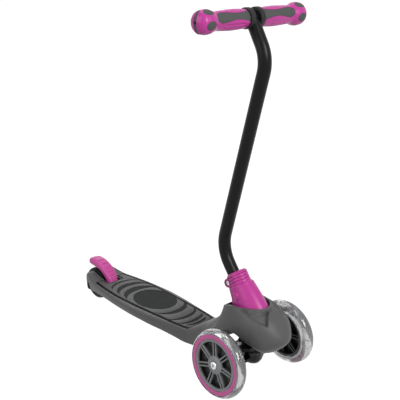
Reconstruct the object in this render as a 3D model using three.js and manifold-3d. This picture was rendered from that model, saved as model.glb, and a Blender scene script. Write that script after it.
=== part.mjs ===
// Three wheel kids scooter, in millimetres. X forward, Y to the rider's left, Z up.
// The tables of the driving dimensions count from the front axle line on the floor;
// the exported group is moved so that its origin is the bottom centre of the bounding box.
import * as THREE from "three";
import { mergeVertices } from "three/addons/utils/BufferGeometryUtils.js";
import Module from "manifold-3d";

const wasm = await Module();
wasm.setup();

const DEG = Math.PI / 180;
const WELD = 1e-4;
const trim = 0.08;

// Clearances
const seatGap = 0.25;
const slideGap = 0.3;
const patternGap = 0.5;
const groove = 3;

// Front wheels
const wheelRadius = 60;
const wheelTrack = 170.8;
const wheelCamber = 3.5;
const crownRadius = 13;
const tyreBore = 45.1;
const ringOuter = 53;
const ringInner = 45.4;
const ringFace = 10.7;
const ringDepth = 3.2;
const rimOuter = 44.7;
const rimInner = 40.6;
const faceBack = 5.4;
const faceFront = 10.5;
const spokePairs = 7;
const spokeTurn = 7;
const spokeWidth = 2.3;
const spokeSlot = 3.4;
const spokeFront = 9.4;
const hubBoss = 14;
const bearingOuter = 11;
const bearingBore = 4;
const bearingWidth = 7;
const bearingIn = -11;
const bearingOut = 2;
const axleRadius = 3.9;
const capRadius = 6.6;

// Rear wheel
const rearRadius = 34;
const rearWidth = 24;
const rearBore = 23.5;
const wheelbase = 455;
const rearBearingIn = 4.5;
const rearSeat = 22.5;

// Deck
const deckTop = 54;
const treadTop = 55;
const deckWall = 3;
const treadDepth = 4;
const lipSink = 0.2;
const treadThick = 2.3;
const underlayThick = 1.3;
const rearArmEnd = 467;
const rearSlot = 15;
const brakeSlot = 19;
const brakeSlotFront = 395;
const brakeSlotRear = 418;
const slotWall = 1.5;
const rimEdge = 1;
const notchShare = 0.5;
const treadRear = 420;
const treadFront = 136;
const treadCorner = [[-131.5, 31], [-129.8, 26]];
const rimCentre = -16;
const rimLength = 44.5;
const rimWidth = 31;

// Steering
const leanHeight = 111;
const leanLimit = 8;
const leverTip = 63;
const leverRadius = leanHeight - leverTip;
const pivotEye = 11;
const pivotHead = 7;
const pivotNutCorner = 6.8;
const cheekThick = 5.5;
const cheekRear = 18.5;
const cheekFront = 19.5;
const cheekHalf = 16;
const cheekRise = 9;
const stemTop = 124;
const springShare = 0.387;
const springSide = 21;
const springPitch = 2.575;
const springWire = 0.7;
const springPlay = 0.15;
const leverHalf = 2.9;
const armLength = 26;
const kingpinSpread = 38;
const kingpinRadius = 4;
const kingpinSink = 3.2;
const washerRadius = 9.4;
const plateTop = 80;
const plateThick = 6;
const bowlRadius = 24;
const bowlCentre = -1;
const bowlRows = [[0, 31], [7, 31.3], [12.5, 33.5], [16, 38.5], [18.5, 46], [21, 53], [24, 59]];
const barrelRadius = 9;
const barrelTop = 71.5;
const barrelBottom = 47.5;
const lugThick = 5;
const tieBottom = 60;
const tieThick = 4;

// Column
const stripTurn = 114;
const gripRows = [
  [16.2, 14.1], [18.5, 14.7], [28, 15.5], [48, 16.1], [71, 15.2], [83, 14.8],
  [89, 16.6], [94.5, 18.4], [100.5, 19], [106.5, 18], [112.3, 14.8], [116.2, 10.2], [118.5, 3],
];
const stripRows = [[5, 9.5], [14, 9], [28, 6.4], [46, 5], [65, 7.4], [78.5, 8], [84.5, 4.5]];
const spotHalf = [9.2, 6.8];
const spotTurn = 76;
const ballAt = 100.5;
const bandFrom = 109.5;
const coreRadius = 13.1;
const coreEnd = 113;
const flangeRadius = 17.4;
const flangeFrom = 6;
const flangeTo = 15.6;
const tubeRadius = 11.1;
const tubeWall = 2;
const barRadius = 11;
const barHalf = 96;
const barX = -20.9;
const barZ = 621;
const collarTilt = 36;
const collarTop = [-48.3, 185.9];
const tubeOffset = 4;
const collarBand = 20;
const bandAhead = 2.6;
const bandShare = 0.92;
const rimHeight = 138;
const upperBend = [13.5, 561.3];
const bendRadii = [58, 62];
const middleRun = [-0.2685, -0.9633];

// Brake
const brakePinX = -402;
const brakePinZ = 46;
const fenderHalf = 13.5;
const fenderShare = 0.62;
// rows from the root to the end: top x and z, underside x and z, half width
const fenderRows = [
  [-401, 47, -405.5, 48, 10.5],
  [-403.5, 53, -417.5, 48.7, 11.3],
  [-406, 60, -422, 55.5, 12],
  [-411.5, 67.5, -428, 61.8, 12.8],
  [-418.5, 74, -434, 66.3, 13.3],
  [-428, 79.8, -440.5, 69.3, 13.5],
  [-441, 84, -449, 71.2, 13.5],
  [-456, 86.3, -459, 72.3, 13.5],
  [-470, 86, -470, 73, 12.8],
  [-479, 83.5, -478.5, 74.2, 9.8],
  [-484, 79.5, -483.6, 77, 4],
];
const brakeSpringX = 411.8;
const wellFloor = 37;
const brakeSpringTop = 47.85;

const paint = {
  darkGrey: new THREE.MeshStandardMaterial({ color: 0x55575a, roughness: 0.6 }),
  treadGrey: new THREE.MeshStandardMaterial({ color: 0x6a6b6e, roughness: 0.7 }),
  softDark: new THREE.MeshStandardMaterial({ color: 0x2f3234, roughness: 0.8 }),
  black: new THREE.MeshStandardMaterial({ color: 0x141414, roughness: 0.45 }),
  pink: new THREE.MeshStandardMaterial({ color: 0xc73a9c, roughness: 0.4 }),
  clear: new THREE.MeshStandardMaterial({ color: 0xb0b4b6, roughness: 0.2 }),
  steel: new THREE.MeshStandardMaterial({ color: 0xc9cbcd, roughness: 0.3, metalness: 1 }),
};

const group = new THREE.Group();
const exported = new THREE.Group();
exported.add(group);

function made(positions, triangles) {
  const mesh = { numProp: 3, vertProperties: positions, triVerts: triangles };
  return new wasm.Manifold(new wasm.Mesh(mesh));
}

// A closed geometry as a solid, its faces turned outwards.
function solid(geometry) {
  const loose = geometry.index ? geometry.toNonIndexed() : geometry;
  const plain = new THREE.BufferGeometry();
  plain.setAttribute("position", loose.getAttribute("position"));
  const merged = mergeVertices(plain, WELD);
  const triangles = new Uint32Array(merged.index.array);
  const first = made(merged.attributes.position.array, triangles);
  if (first.volume() >= 0) return first;
  for (let i = 0; i < triangles.length; i += 3) {
    const kept = triangles[i + 1];
    triangles[i + 1] = triangles[i + 2];
    triangles[i + 2] = kept;
  }
  return made(merged.attributes.position.array, triangles);
}

function add(name, shape, material) {
  const data = shape.simplify(trim).getMesh();
  const count = data.numProp;
  const positions = new Float32Array(data.numVert * 3);
  for (let i = 0; i < data.numVert; i++) {
    positions.set(data.vertProperties.subarray(i * count, i * count + 3), i * 3);
  }
  const geometry = new THREE.BufferGeometry();
  geometry.setAttribute("position", new THREE.BufferAttribute(positions, 3));
  geometry.setIndex(new THREE.BufferAttribute(data.triVerts, 1));
  geometry.computeVertexNormals();
  const mesh = new THREE.Mesh(geometry, material);
  mesh.name = name;
  group.add(mesh);
}

function union(list) {
  return list.reduce((sum, next) => sum.add(next));
}

function block(x0, x1, y0, y1, z0, z1) {
  const box = new THREE.BoxGeometry(x1 - x0, y1 - y0, z1 - z0);
  box.translate((x0 + x1) / 2, (y0 + y1) / 2, (z0 + z1) / 2);
  return solid(box);
}

// A body of revolution about Z from rows of [radius, height].
function lathe(rows, segments = 24) {
  const points = rows.map(([r, z]) => new THREE.Vector2(r, z));
  const onAxis = rows[0][0] === 0 && rows[rows.length - 1][0] === 0;
  if (!onAxis) points.push(points[0].clone());
  const geometry = new THREE.LatheGeometry(points, segments);
  geometry.rotateX(90 * DEG);
  return solid(geometry);
}

function rod(radius, z0, z1, segments = 20) {
  return lathe([[0, z0], [radius, z0], [radius, z1], [0, z1]], segments);
}

function pipe(outer, inner, z0, z1, segments = 20) {
  return lathe([[inner, z0], [outer, z0], [outer, z1], [inner, z1]], segments);
}

// A six-sided nut on an M8 thread.
function hexNut(corner, z0, z1) {
  return rod(corner, z0, z1, 6).subtract(rod(kingpinRadius + 0.12, z0 - 1, z1 + 1, 16));
}

// A prism along Z over a closed outline of [x, y] rows.
function prism(outline, z0, z1) {
  const shape = new THREE.Shape(outline.map(([x, y]) => new THREE.Vector2(x, y)));
  const geometry = new THREE.ExtrudeGeometry(shape, { depth: z1 - z0, bevelEnabled: false });
  geometry.translate(0, 0, z0);
  return solid(geometry);
}

function oval(halfX, halfY, z0, z1, segments = 28) {
  const outline = [];
  for (let i = 0; i < segments; i++) {
    const turn = (2 * Math.PI * i) / segments;
    outline.push([halfX * Math.cos(turn), halfY * Math.sin(turn)]);
  }
  return prism(outline, z0, z1);
}

// Puts a shape made about Z onto a line: origin, direction of Z, and a hint for X.
function placed(shape, origin, zAxis, xHint = [1, 0, 0]) {
  const z = new THREE.Vector3(...zAxis).normalize();
  const x = new THREE.Vector3(...xHint);
  x.addScaledVector(z, -x.dot(z)).normalize();
  const y = new THREE.Vector3().crossVectors(z, x);
  const matrix = new THREE.Matrix4().makeBasis(x, y, z).setPosition(...origin);
  return shape.transform(matrix.elements);
}

function alongY(shape, x, y, z) {
  return placed(shape, [x, y, z], [0, 1, 0]);
}

function alongX(shape, x, y, z) {
  return placed(shape, [x, y, z], [1, 0, 0], [0, 1, 0]);
}

// A closed skin over rings of equal point count, with fans over both ends.
function loft(rings) {
  const count = rings[0].length;
  const positions = [];
  rings.forEach((ring) => ring.forEach((point) => positions.push(...point)));
  const triangles = [];
  for (let i = 0; i + 1 < rings.length; i++) {
    for (let j = 0; j < count; j++) {
      const a = i * count + j;
      const b = i * count + ((j + 1) % count);
      triangles.push(a, b, b + count, a, b + count, a + count);
    }
  }
  [0, rings.length - 1].forEach((end) => {
    const middle = new THREE.Vector3();
    rings[end].forEach((point) => middle.add(new THREE.Vector3(...point)));
    middle.divideScalar(count);
    const index = positions.length / 3;
    positions.push(middle.x, middle.y, middle.z);
    for (let j = 0; j < count; j++) {
      const a = end * count + j;
      const b = end * count + ((j + 1) % count);
      if (end === 0) triangles.push(index, b, a);
      else triangles.push(index, a, b);
    }
  });
  const geometry = new THREE.BufferGeometry();
  geometry.setAttribute("position", new THREE.Float32BufferAttribute(positions, 3));
  geometry.setIndex(triangles);
  return solid(geometry);
}

// A smooth curve through the rows of a table, read at one value of its first column.
function read(table, at) {
  const last = table.length - 1;
  if (at <= table[0][0]) return table[0].slice(1);
  if (at >= table[last][0]) return table[last].slice(1);
  let i = 0;
  while (table[i + 1][0] < at) i++;
  const step = table[i + 1][0] - table[i][0];
  const t = (at - table[i][0]) / step;
  const slope = (k, c) => {
    const low = Math.max(k - 1, 0);
    const high = Math.min(k + 1, last);
    return (table[high][c] - table[low][c]) / (table[high][0] - table[low][0]);
  };
  return table[i].slice(1).map((value, k) => {
    const c = k + 1;
    const a = slope(i, c) * step;
    const b = slope(i + 1, c) * step;
    const d = table[i + 1][c] - value;
    return value + t * (a + t * (3 * d - 2 * a - b + t * (a + b - 2 * d)));
  });
}

// A helical wire about Z.
function coil(radius, wire, z0, z1, turns) {
  const points = [];
  const steps = Math.round(turns * 7);
  for (let i = 0; i <= steps; i++) {
    const turn = (2 * Math.PI * turns * i) / steps;
    const z = z0 + wire + ((z1 - z0 - 2 * wire) * i) / steps;
    points.push(new THREE.Vector3(radius * Math.cos(turn), radius * Math.sin(turn), z));
  }
  const path = new THREE.CatmullRomCurve3(points);
  const rings = [];
  for (let i = 0; i <= steps; i++) {
    const p = points[i];
    const along = path.getTangent(i / steps);
    const out = new THREE.Vector3(p.x, p.y, 0).normalize();
    const side = new THREE.Vector3().crossVectors(along, out).normalize();
    const ring = [];
    for (let j = 0; j < 4; j++) {
      const turn = (2 * Math.PI * j) / 4;
      const q = p.clone().addScaledVector(out, wire * Math.cos(turn));
      q.addScaledVector(side, wire * Math.sin(turn));
      ring.push([q.x, q.y, q.z]);
    }
    rings.push(ring);
  }
  return loft(rings);
}

// Deck: rows of x, flat half width, shoulder half width, shoulder height, foot height,
// foot half width, rise of the rear arms
const boardRows = [
  [-467, 24, 27, 48, 24, 25, 3],
  [-462, 26, 29.5, 50, 23, 27, 7.5],
  [-450, 29, 33, 51.5, 24, 29.5, 9],
  [-437, 32.5, 36.5, 51, 25, 31.5, 6],
  [-421, 37.5, 40.5, 50.5, 27, 34, 1],
  [-403, 40.5, 43.8, 50.5, 30, 36, 0],
  [-382, 43.5, 47, 50.5, 31.5, 39, 0],
  [-338, 47.5, 52, 50.5, 32, 44, 0],
  [-286, 47, 54.5, 50.5, 32, 47, 0],
  [-260, 45.5, 53, 50.5, 32, 46.5, 0],
  [-235, 44, 51, 50.5, 31.5, 45.5, 0],
  [-200, 41.5, 46, 50.5, 30, 41.5, 0],
  [-170, 39.5, 42, 50.5, 28, 38.5, 0],
  [-142, 36, 38.5, 50.5, 26.5, 37, 0],
  [-125, 32, 36.5, 50, 28, 36, 0],
];

// Neck and cowl: rows of x, crest, flat half width, half width, its height, foot height,
// foot half width, power of the flank (under 1 is hollow, over 1 is full)
const cowlRows = [
  [-150, 54.9, 30, 38, 50, 26, 36, 2.35],
  [-135, 56.5, 28, 37.5, 49.5, 27, 36, 2.3],
  [-122, 63.5, 21, 37.5, 50, 28, 35.5, 2],
  [-110, 71, 14, 37.6, 53, 30, 35.5, 1.8],
  [-98, 77.5, 9, 37.8, 57, 33, 36, 1.55],
  [-87, 87, 7, 39.2, 63, 39, 37, 1.4],
  [-77, 98, 6.5, 41, 70, 48, 38, 1.2],
  [-70, 109, 7, 42.3, 78, 56, 39, 0.95],
  [-65.5, 124, 9, 43.3, 84, 62, 39.5, 0.8],
  [-62, 129.5, 13, 44, 88, 68, 40, 0.75],
  [-55, 131.2, 19.5, 45.2, 93, 76, 41, 0.8],
  [-45, 132.7, 26.5, 46.5, 97, 86, 42, 0.9],
  [-30, 134.9, 33, 48, 101, 97, 43, 1.05],
  [-16, 137, 35.5, 49, 102, 99, 42.5, 1.15],
  [0, 139.4, 34, 49.3, 102, 96, 38.5, 1.3],
  [10, 140.9, 31, 49, 100, 88, 33, 1.5],
  [20, 142.4, 26, 47.5, 98, 79.5, 26, 1.75],
  [28, 143.4, 19, 45.5, 98, 75.5, 14, 2],
  [34, 143.4, 13, 44, 97.5, 71.5, 8, 2.2],
  [42, 140, 8, 41, 97, 70, 6, 2.3],
  [50, 135, 5, 37, 97, 72.5, 4, 2.35],
  [58, 127.5, 3, 30.5, 97, 77.5, 3, 2.35],
  [65, 118, 2, 23, 97, 84, 2, 2.35],
  [70.5, 109, 1, 14, 98, 90, 1, 2.35],
  [73.5, 102, 0.6, 5, 98.5, 95, 0.6, 2.35],
];

// Half a section from crest to foot, closed by its mirror image.
function ring(x, crest, flat, wide, mid, foot, footWide, upper, lower, powers) {
  const half = [[x, flat, crest]];
  for (let i = 1; i <= upper; i++) {
    const turn = (90 * DEG * i) / upper;
    const y = flat + (wide - flat) * Math.sin(turn) ** (2 / powers[0]);
    half.push([x, y, mid + (crest - mid) * Math.cos(turn) ** (2 / powers[0])]);
  }
  for (let i = 1; i <= lower; i++) {
    const turn = (90 * DEG * i) / lower;
    const y = footWide + (wide - footWide) * Math.cos(turn) ** (2 / powers[1]);
    half.push([x, y, mid - (mid - foot) * Math.sin(turn) ** (2 / powers[1])]);
  }
  const mirrored = half.map(([a, y, z]) => [a, -y, z]).reverse();
  return [...half, ...mirrored];
}

function stations(from, to, step) {
  const count = Math.max(2, Math.round((to - from) / step));
  return Array.from({ length: count + 1 }, (_, i) => from + ((to - from) * i) / count);
}

// The board as a closed body, drawn in by inset on the sides and top.
function board(from, to, inset, footDrop) {
  return loft(
    stations(from, to, 28).map((x) => {
      const [flat, wide, mid, foot, footWide, rise] = read(boardRows, x);
      return ring(
        x,
        deckTop + rise - inset,
        flat - inset / 2,
        wide - inset,
        mid - inset / 2,
        foot - footDrop,
        footWide - inset,
        3,
        2,
        [2, 1.6],
      );
    }),
  );
}

// The neck and cowl as a closed body, drawn in by inset, its foot moved by lift.
function cowl(xs, inset, lift) {
  return loft(
    xs.map((x) => {
      const [crest, flat, wide, mid, foot, footWide, power] = read(cowlRows, x);
      return ring(
        x,
        crest - inset,
        Math.max(flat - inset / 2, 0.2),
        Math.max(wide - inset, 0.5),
        Math.min(mid, crest - inset - 1),
        foot + lift,
        Math.max(footWide - inset, 0.3),
        inset > 0 ? 4 : 5,
        2,
        [power, 2],
      );
    }),
  );
}

const cowlStations = [
  ...stations(-150, -77, 12),
  ...stations(-72, -60, 4),
  ...stations(-50, 30, 13),
  ...stations(37, 64, 9),
  69,
  72,
  73.5,
];
const innerStations = [
  ...stations(-150, -82, 17),
  -75,
  -69,
  -62,
  ...stations(-50, 31, 20),
  ...stations(40, 63, 11.5),
];

// Openings of the tread: [outer apex, inner apex, end x, end half width, middle y]
const rearCrescents = [
  [-387.3, -383.7, -367, 33, 2.5],
  [-369.8, -358.7, -337, 37.5, 2.5],
  [-345.8, -330.7, -310, 39, 2.5],
];
const frontCrescents = [
  [-197.7, -207.3, -230, 36.5, 2.2],
  [-169.7, -176.3, -192, 34, -1],
  [-149.2, -155.2, -165, 29.5, -1.5],
  [-138.3, -142.8, -149, 23.5, -1],
];
const crescentTip = 0.7;
const ellipseAt = [-272.8, 3.2];
const ellipseHalf = [49, 38.8];

function crescent([outer, inner, endX, endY, middle], grow) {
  const sign = Math.sign(outer - inner);
  const steps = 5;
  const reach = (grow > 0 ? 90 : 78) * DEG;
  const edge = (apex, offset, tip) => {
    const rows = [];
    for (let i = -steps; i <= steps; i++) {
      const turn = (reach * i) / steps;
      const x = endX + (apex - endX) * Math.cos(turn) + offset;
      rows.push([x, middle + tip * Math.sin(turn)]);
    }
    return rows;
  };
  const out = edge(outer, sign * (crescentTip + grow), endY + grow);
  const back = edge(inner, -sign * (crescentTip + grow), endY - grow).reverse();
  return [...out, ...back];
}

function treadOutline(inset) {
  const xs = stations(-treadRear, -treadFront, 40);
  const play = inset * notchShare;
  xs[0] += play;
  const side = xs.map((x) => [x, read(boardRows, x)[0] - rimEdge - inset]);
  const corner = treadCorner.map(([x, y]) => [x - inset, y - inset]);
  const notch = brakeSlot + slotWall + play;
  const end = -brakeSlotFront + slotWall + play;
  const half = [...side, ...corner];
  const mirrored = half.map(([x, y]) => [x, -y]).reverse();
  return [...half, ...mirrored, [xs[0], -notch], [end, -notch], [end, notch], [xs[0], notch]];
}

function patternHoles(grow, z0, z1) {
  const crescents = [...rearCrescents, ...frontCrescents];
  const shapes = crescents.map((row) => prism(crescent(row, grow), z0, z1));
  const disc = oval(ellipseHalf[0] + grow, ellipseHalf[1] + grow, z0, z1, 24);
  shapes.push(disc.translate([ellipseAt[0], ellipseAt[1], 0]));
  return union(shapes);
}

const pocketFloor = treadTop - treadDepth;
const kingpins = [kingpinSpread, -kingpinSpread];
const rearScrews = [-69, 6];
const frontScrews = [20, 24];
const tongueLow = 86;
const tongueTop = 91;
const screwSeats = [
  [rearScrews[0], rearScrews[1], tongueLow, tongueTop],
  [rearScrews[0], -rearScrews[1], tongueLow, tongueTop],
  [frontScrews[0], frontScrews[1], plateTop - plateThick, plateTop],
  [frontScrews[0], -frontScrews[1], plateTop - plateThick, plateTop],
];
const screwRadius = 1.9;
const screwHole = 2.15;
const screwHead = 3.6;
const screwBite = 11;
const rearAxle = [-wheelbase, rearRadius];

function buildDeck() {
  const outer = board(-rearArmEnd, -125, 0, 0).add(cowl(cowlStations, 0, 0));
  let shell = outer;
  const floor = -40;
  shell = shell.subtract(board(-389, -130, deckWall + 1, -floor).subtract(
    block(-400, -120, -60, 60, pocketFloor - deckWall, 70),
  ));
  shell = shell.subtract(cowl(innerStations, deckWall, deckWall));
  shell = shell.subtract(cowl(innerStations.filter((x) => x <= 31), deckWall, floor));
  const mouth = placed(
    oval(rimLength, rimWidth, -20, 40, 32),
    [rimCentre, 0, 137],
    [-0.15, 0, 1],
  );
  shell = shell.subtract(mouth);
  shell = shell.subtract(prism(treadOutline(0), pocketFloor, treadTop + 7));
  // ribs below the board
  const ribs = [block(-392, -140, -1, 1, 36, pocketFloor - 1)];
  [-335, -260, -185].forEach((x) => {
    ribs.push(block(x - 1, x + 1, -60, 60, 38, pocketFloor - 1));
  });
  shell = shell.add(union(ribs).intersect(board(-400, -130, 1, 0)));
  // rear fork and brake well
  shell = shell.subtract(block(-480, -brakeSlotRear, -rearSlot, rearSlot, 0, 70));
  shell = shell.subtract(
    block(-brakeSlotRear - 1, -brakeSlotFront, -brakeSlot, brakeSlot, wellFloor, 70),
  );
  shell = shell.subtract(alongY(rod(2.55, -25, 25, 14), brakePinX, 0, brakePinZ));
  const bosses = [-1, 1].map((side) => {
    const inner = rearBearingIn + bearingWidth + 0.4;
    const length = side > 0 ? [inner, rearSlot + 2] : [-rearSlot - 2, -inner];
    return alongY(rod(6, length[0], length[1], 20), rearAxle[0], 0, rearAxle[1]);
  });
  shell = shell.add(union(bosses));
  shell = shell.subtract(alongY(rod(bearingBore + 0.1, -50, 50, 16), rearAxle[0], 0, rearAxle[1]));
  [-1, 1].forEach((side) => {
    const seat = alongY(rod(8, rearSeat, 50, 20), rearAxle[0], 0, rearAxle[1]);
    shell = shell.subtract(side > 0 ? seat : seat.mirror([0, 1, 0]));
  });
  // screw bosses inside the cowl
  const posts = screwSeats.map(([x, y, , z]) => rod(4, z + seatGap, 150, 8).translate([x, y, 0]));
  shell = shell.add(union(posts).intersect(cowl(cowlStations, 1, 0)).subtract(mouth));
  const bores = screwSeats.map(([x, y, , z]) =>
    rod(screwHole, z - 5, z + screwBite + 1, 8).translate([x, y, 0]),
  );
  return shell.subtract(union(bores));
}

function buildTread() {
  const low = treadTop - treadThick;
  const underlayLow = pocketFloor + seatGap / 2;
  const sheet = prism(treadOutline(seatGap), underlayLow, underlayLow + underlayThick);
  const lip = prism(treadOutline(seatGap), underlayLow, treadTop - lipSink).subtract(
    prism(treadOutline(groove - seatGap), underlayLow - 1, treadTop + 1),
  );
  const islands = patternHoles(0, underlayLow, treadTop - 0.7);
  add("grip_underlay", union([sheet, lip, islands]), paint.softDark);
  const plate = prism(treadOutline(groove), low, treadTop);
  const open = plate.subtract(patternHoles(patternGap, low - 1, treadTop + 1));
  add("tread_plate", open, paint.treadGrey);
}

function buildTruck() {
  const low = plateTop - plateThick;
  let truck = prism(
    [
      [-16, -20], [-9, -33], [-8, -44], [-1, -50], [14, -50], [26, -36],
      [26, 36], [14, 50], [-1, 50], [-8, 44], [-9, 33], [-16, 20],
    ],
    low,
    plateTop,
  );
  const outer = [...bowlRows, [bowlRadius, low + 1], [0, low + 1]];
  const inner = outer.map(([r, z]) => [Math.max(r - 3, 0), z > 40 ? z + 2 : z + 3]);
  const bowl = lathe(outer, 18).translate([bowlCentre, 0, 0]);
  truck = truck.add(bowl);
  [-1, 1].forEach((side) => {
    const arm = block(-8, 8, 14, kingpinSpread, barrelBottom - 0.4 - lugThick, barrelBottom - 0.4);
    const eye = rod(8, barrelBottom - 0.4 - lugThick, barrelBottom - 0.4, 20);
    const lug = arm.add(eye.translate([0, kingpinSpread, 0]));
    truck = truck.add(side > 0 ? lug : lug.mirror([0, 1, 0]));
  });
  truck = truck.subtract(lathe(inner, 12).translate([bowlCentre, 0, 0]));
  truck = truck.subtract(block(-14, 13, -14, 14, low - 1, plateTop + 1));
  // cheeks for the lean hinge
  const low1 = plateTop - 2;
  const cheekOutline = [
    [low1, -cheekHalf], [low1, cheekHalf], [leanHeight, cheekRise],
    [leanHeight + 0.72 * cheekRise, 0.72 * cheekRise], [leanHeight + cheekRise, 0],
    [leanHeight + 0.72 * cheekRise, -0.72 * cheekRise], [leanHeight, -cheekRise],
  ];
  [-cheekRear, cheekFront - cheekThick].forEach((x0) => {
    const cheek = prism(cheekOutline, 0, cheekThick);
    const matrix = new THREE.Matrix4().makeBasis(
      new THREE.Vector3(0, 0, 1),
      new THREE.Vector3(0, 1, 0),
      new THREE.Vector3(-1, 0, 0),
    );
    matrix.setPosition(x0 + cheekThick, 0, 0);
    truck = truck.add(cheek.transform(matrix.elements));
  });
  truck = truck.subtract(alongX(rod(kingpinRadius + 0.15, -40, 40, 16), 0, 0, leanHeight));
  // window for the tie plate
  const reach = leverRadius * Math.sin(leanLimit * DEG) + 13;
  truck = truck.subtract(
    block(-40, -bowlRadius * 0.4, -reach, reach, tieBottom - 1, tieBottom + tieThick + 1),
  );
  // rear tongue, kingpin and screw holes
  truck = truck.add(block(rearScrews[0] - 6, -15, -11, 11, tongueLow, tongueTop));
  kingpins.forEach((y) => {
    truck = truck.subtract(rod(kingpinRadius + 0.15, 20, plateTop + 4, 16).translate([0, y, 0]));
    truck = truck.subtract(rod(6.8, plateTop - kingpinSink, plateTop + 4, 16).translate([0, y, 0]));
  });
  const holes = screwSeats.map(([x, y, under, z]) =>
    rod(screwHole, under - 5, z + 1, 8).translate([x, y, 0]),
  );
  truck = truck.subtract(union(holes));
  // room for the ends of the pivot pin
  const pinRoom = rod(pivotHead + 1, cheekFront, 3 * cheekFront, 12);
  const nutRoom = rod(pivotHead + 1, -2 * cheekRear, -cheekRear, 12);
  truck = truck.subtract(alongX(pinRoom.add(nutRoom), 0, 0, leanHeight));
  add("steering_truck", truck, paint.black);

  screwSeats.forEach(([x, y, under, z], i) => {
    const screw = lathe([
      [0, under - 3], [screwHead - 0.8, under - 3], [screwHead, under - 2], [screwHead, under - seatGap],
      [screwRadius, under - seatGap], [screwRadius, z + screwBite], [0, z + screwBite],
    ], 8);
    add("truck_screw_" + (i + 1), screw.translate([x, y, 0]), paint.steel);
  });
  ["left", "right"].forEach((name, i) => {
    const y = kingpins[i];
    const nutTop = barrelBottom - 0.4 - lugThick - seatGap;
    const headLow = plateTop - kingpinSink + seatGap;
    const pin = lathe([
      [0, nutTop - 6], [kingpinRadius, nutTop - 6], [kingpinRadius, headLow], [6.3, headLow],
      [6.3, plateTop], [5.6, plateTop + 0.6], [0, plateTop + 0.6],
    ], 16);
    add("kingpin_" + name, pin.translate([0, y, 0]), paint.steel);
    const nut = hexNut(6.8, nutTop - 5, nutTop);
    add("kingpin_nut_" + name, nut.translate([0, y, 0]), paint.steel);
    const washer = pipe(washerRadius, kingpinRadius + 0.15, barrelTop + seatGap, low - seatGap, 12);
    add("kingpin_washer_" + name, washer.translate([0, y, 0]), paint.steel);
  });
  const pinEnd = -cheekRear - 5;
  const headLow = cheekFront + seatGap;
  const headTop = cheekFront + 3;
  const pin = lathe([
    [0, pinEnd], [kingpinRadius, pinEnd], [kingpinRadius, headLow], [pivotHead, headLow],
    [pivotHead, headTop], [pivotHead - 1.5, headTop + 1.5], [0, headTop + 1.5],
  ], 16);
  add("pivot_pin", alongX(pin, 0, 0, leanHeight), paint.steel);
  const pivotNut = hexNut(pivotNutCorner, pinEnd + 0.5, -cheekRear - seatGap);
  add("pivot_nut", alongX(pivotNut, 0, 0, leanHeight), paint.steel);
}

// Collar: local frame with Z along the tube and X to the front, origin in the middle of its top.
const up = [-Math.sin(collarTilt * DEG), 0, Math.cos(collarTilt * DEG)];
const ahead = [Math.cos(collarTilt * DEG), 0, Math.sin(collarTilt * DEG)];

function inCollar(shape) {
  return placed(shape, [collarTop[0], 0, collarTop[1]], up, ahead);
}

function collarPoint(x, y, z) {
  return [
    collarTop[0] + x * ahead[0] + z * up[0],
    y,
    collarTop[1] + x * ahead[2] + z * up[2],
  ];
}

// Rows of height above the rim plane, centre x, tilt of the ring, half length, half width
const skirtRows = [
  [0, -11, 8.5, 36, 24.5],
  [6, -14.5, 11, 33.5, 23.8],
  [14, -20, 17, 30, 22.8],
  [24, -28.1, 26.5, 26.2, 21.7],
  [30.85, -33, 28.4, 23.9, 21],
];
const buttonAt = [2, -38.5];
const buttonHalf = [5.2, 8.2];
const clampAt = [-18.4, -12];
const clampEar = 8;
const earHalf = 11;
const clampSeat = 7;
const clampRoom = 4.9;

function skirtRing(x, z, tilt, halfLength, halfWidth) {
  const rows = [];
  for (let i = 0; i < 18; i++) {
    const turn = (2 * Math.PI * i) / 18;
    const a = halfLength * Math.cos(turn);
    rows.push([x + a * Math.cos(tilt * DEG), halfWidth * Math.sin(turn), z + a * Math.sin(tilt * DEG)]);
  }
  return rows;
}

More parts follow.
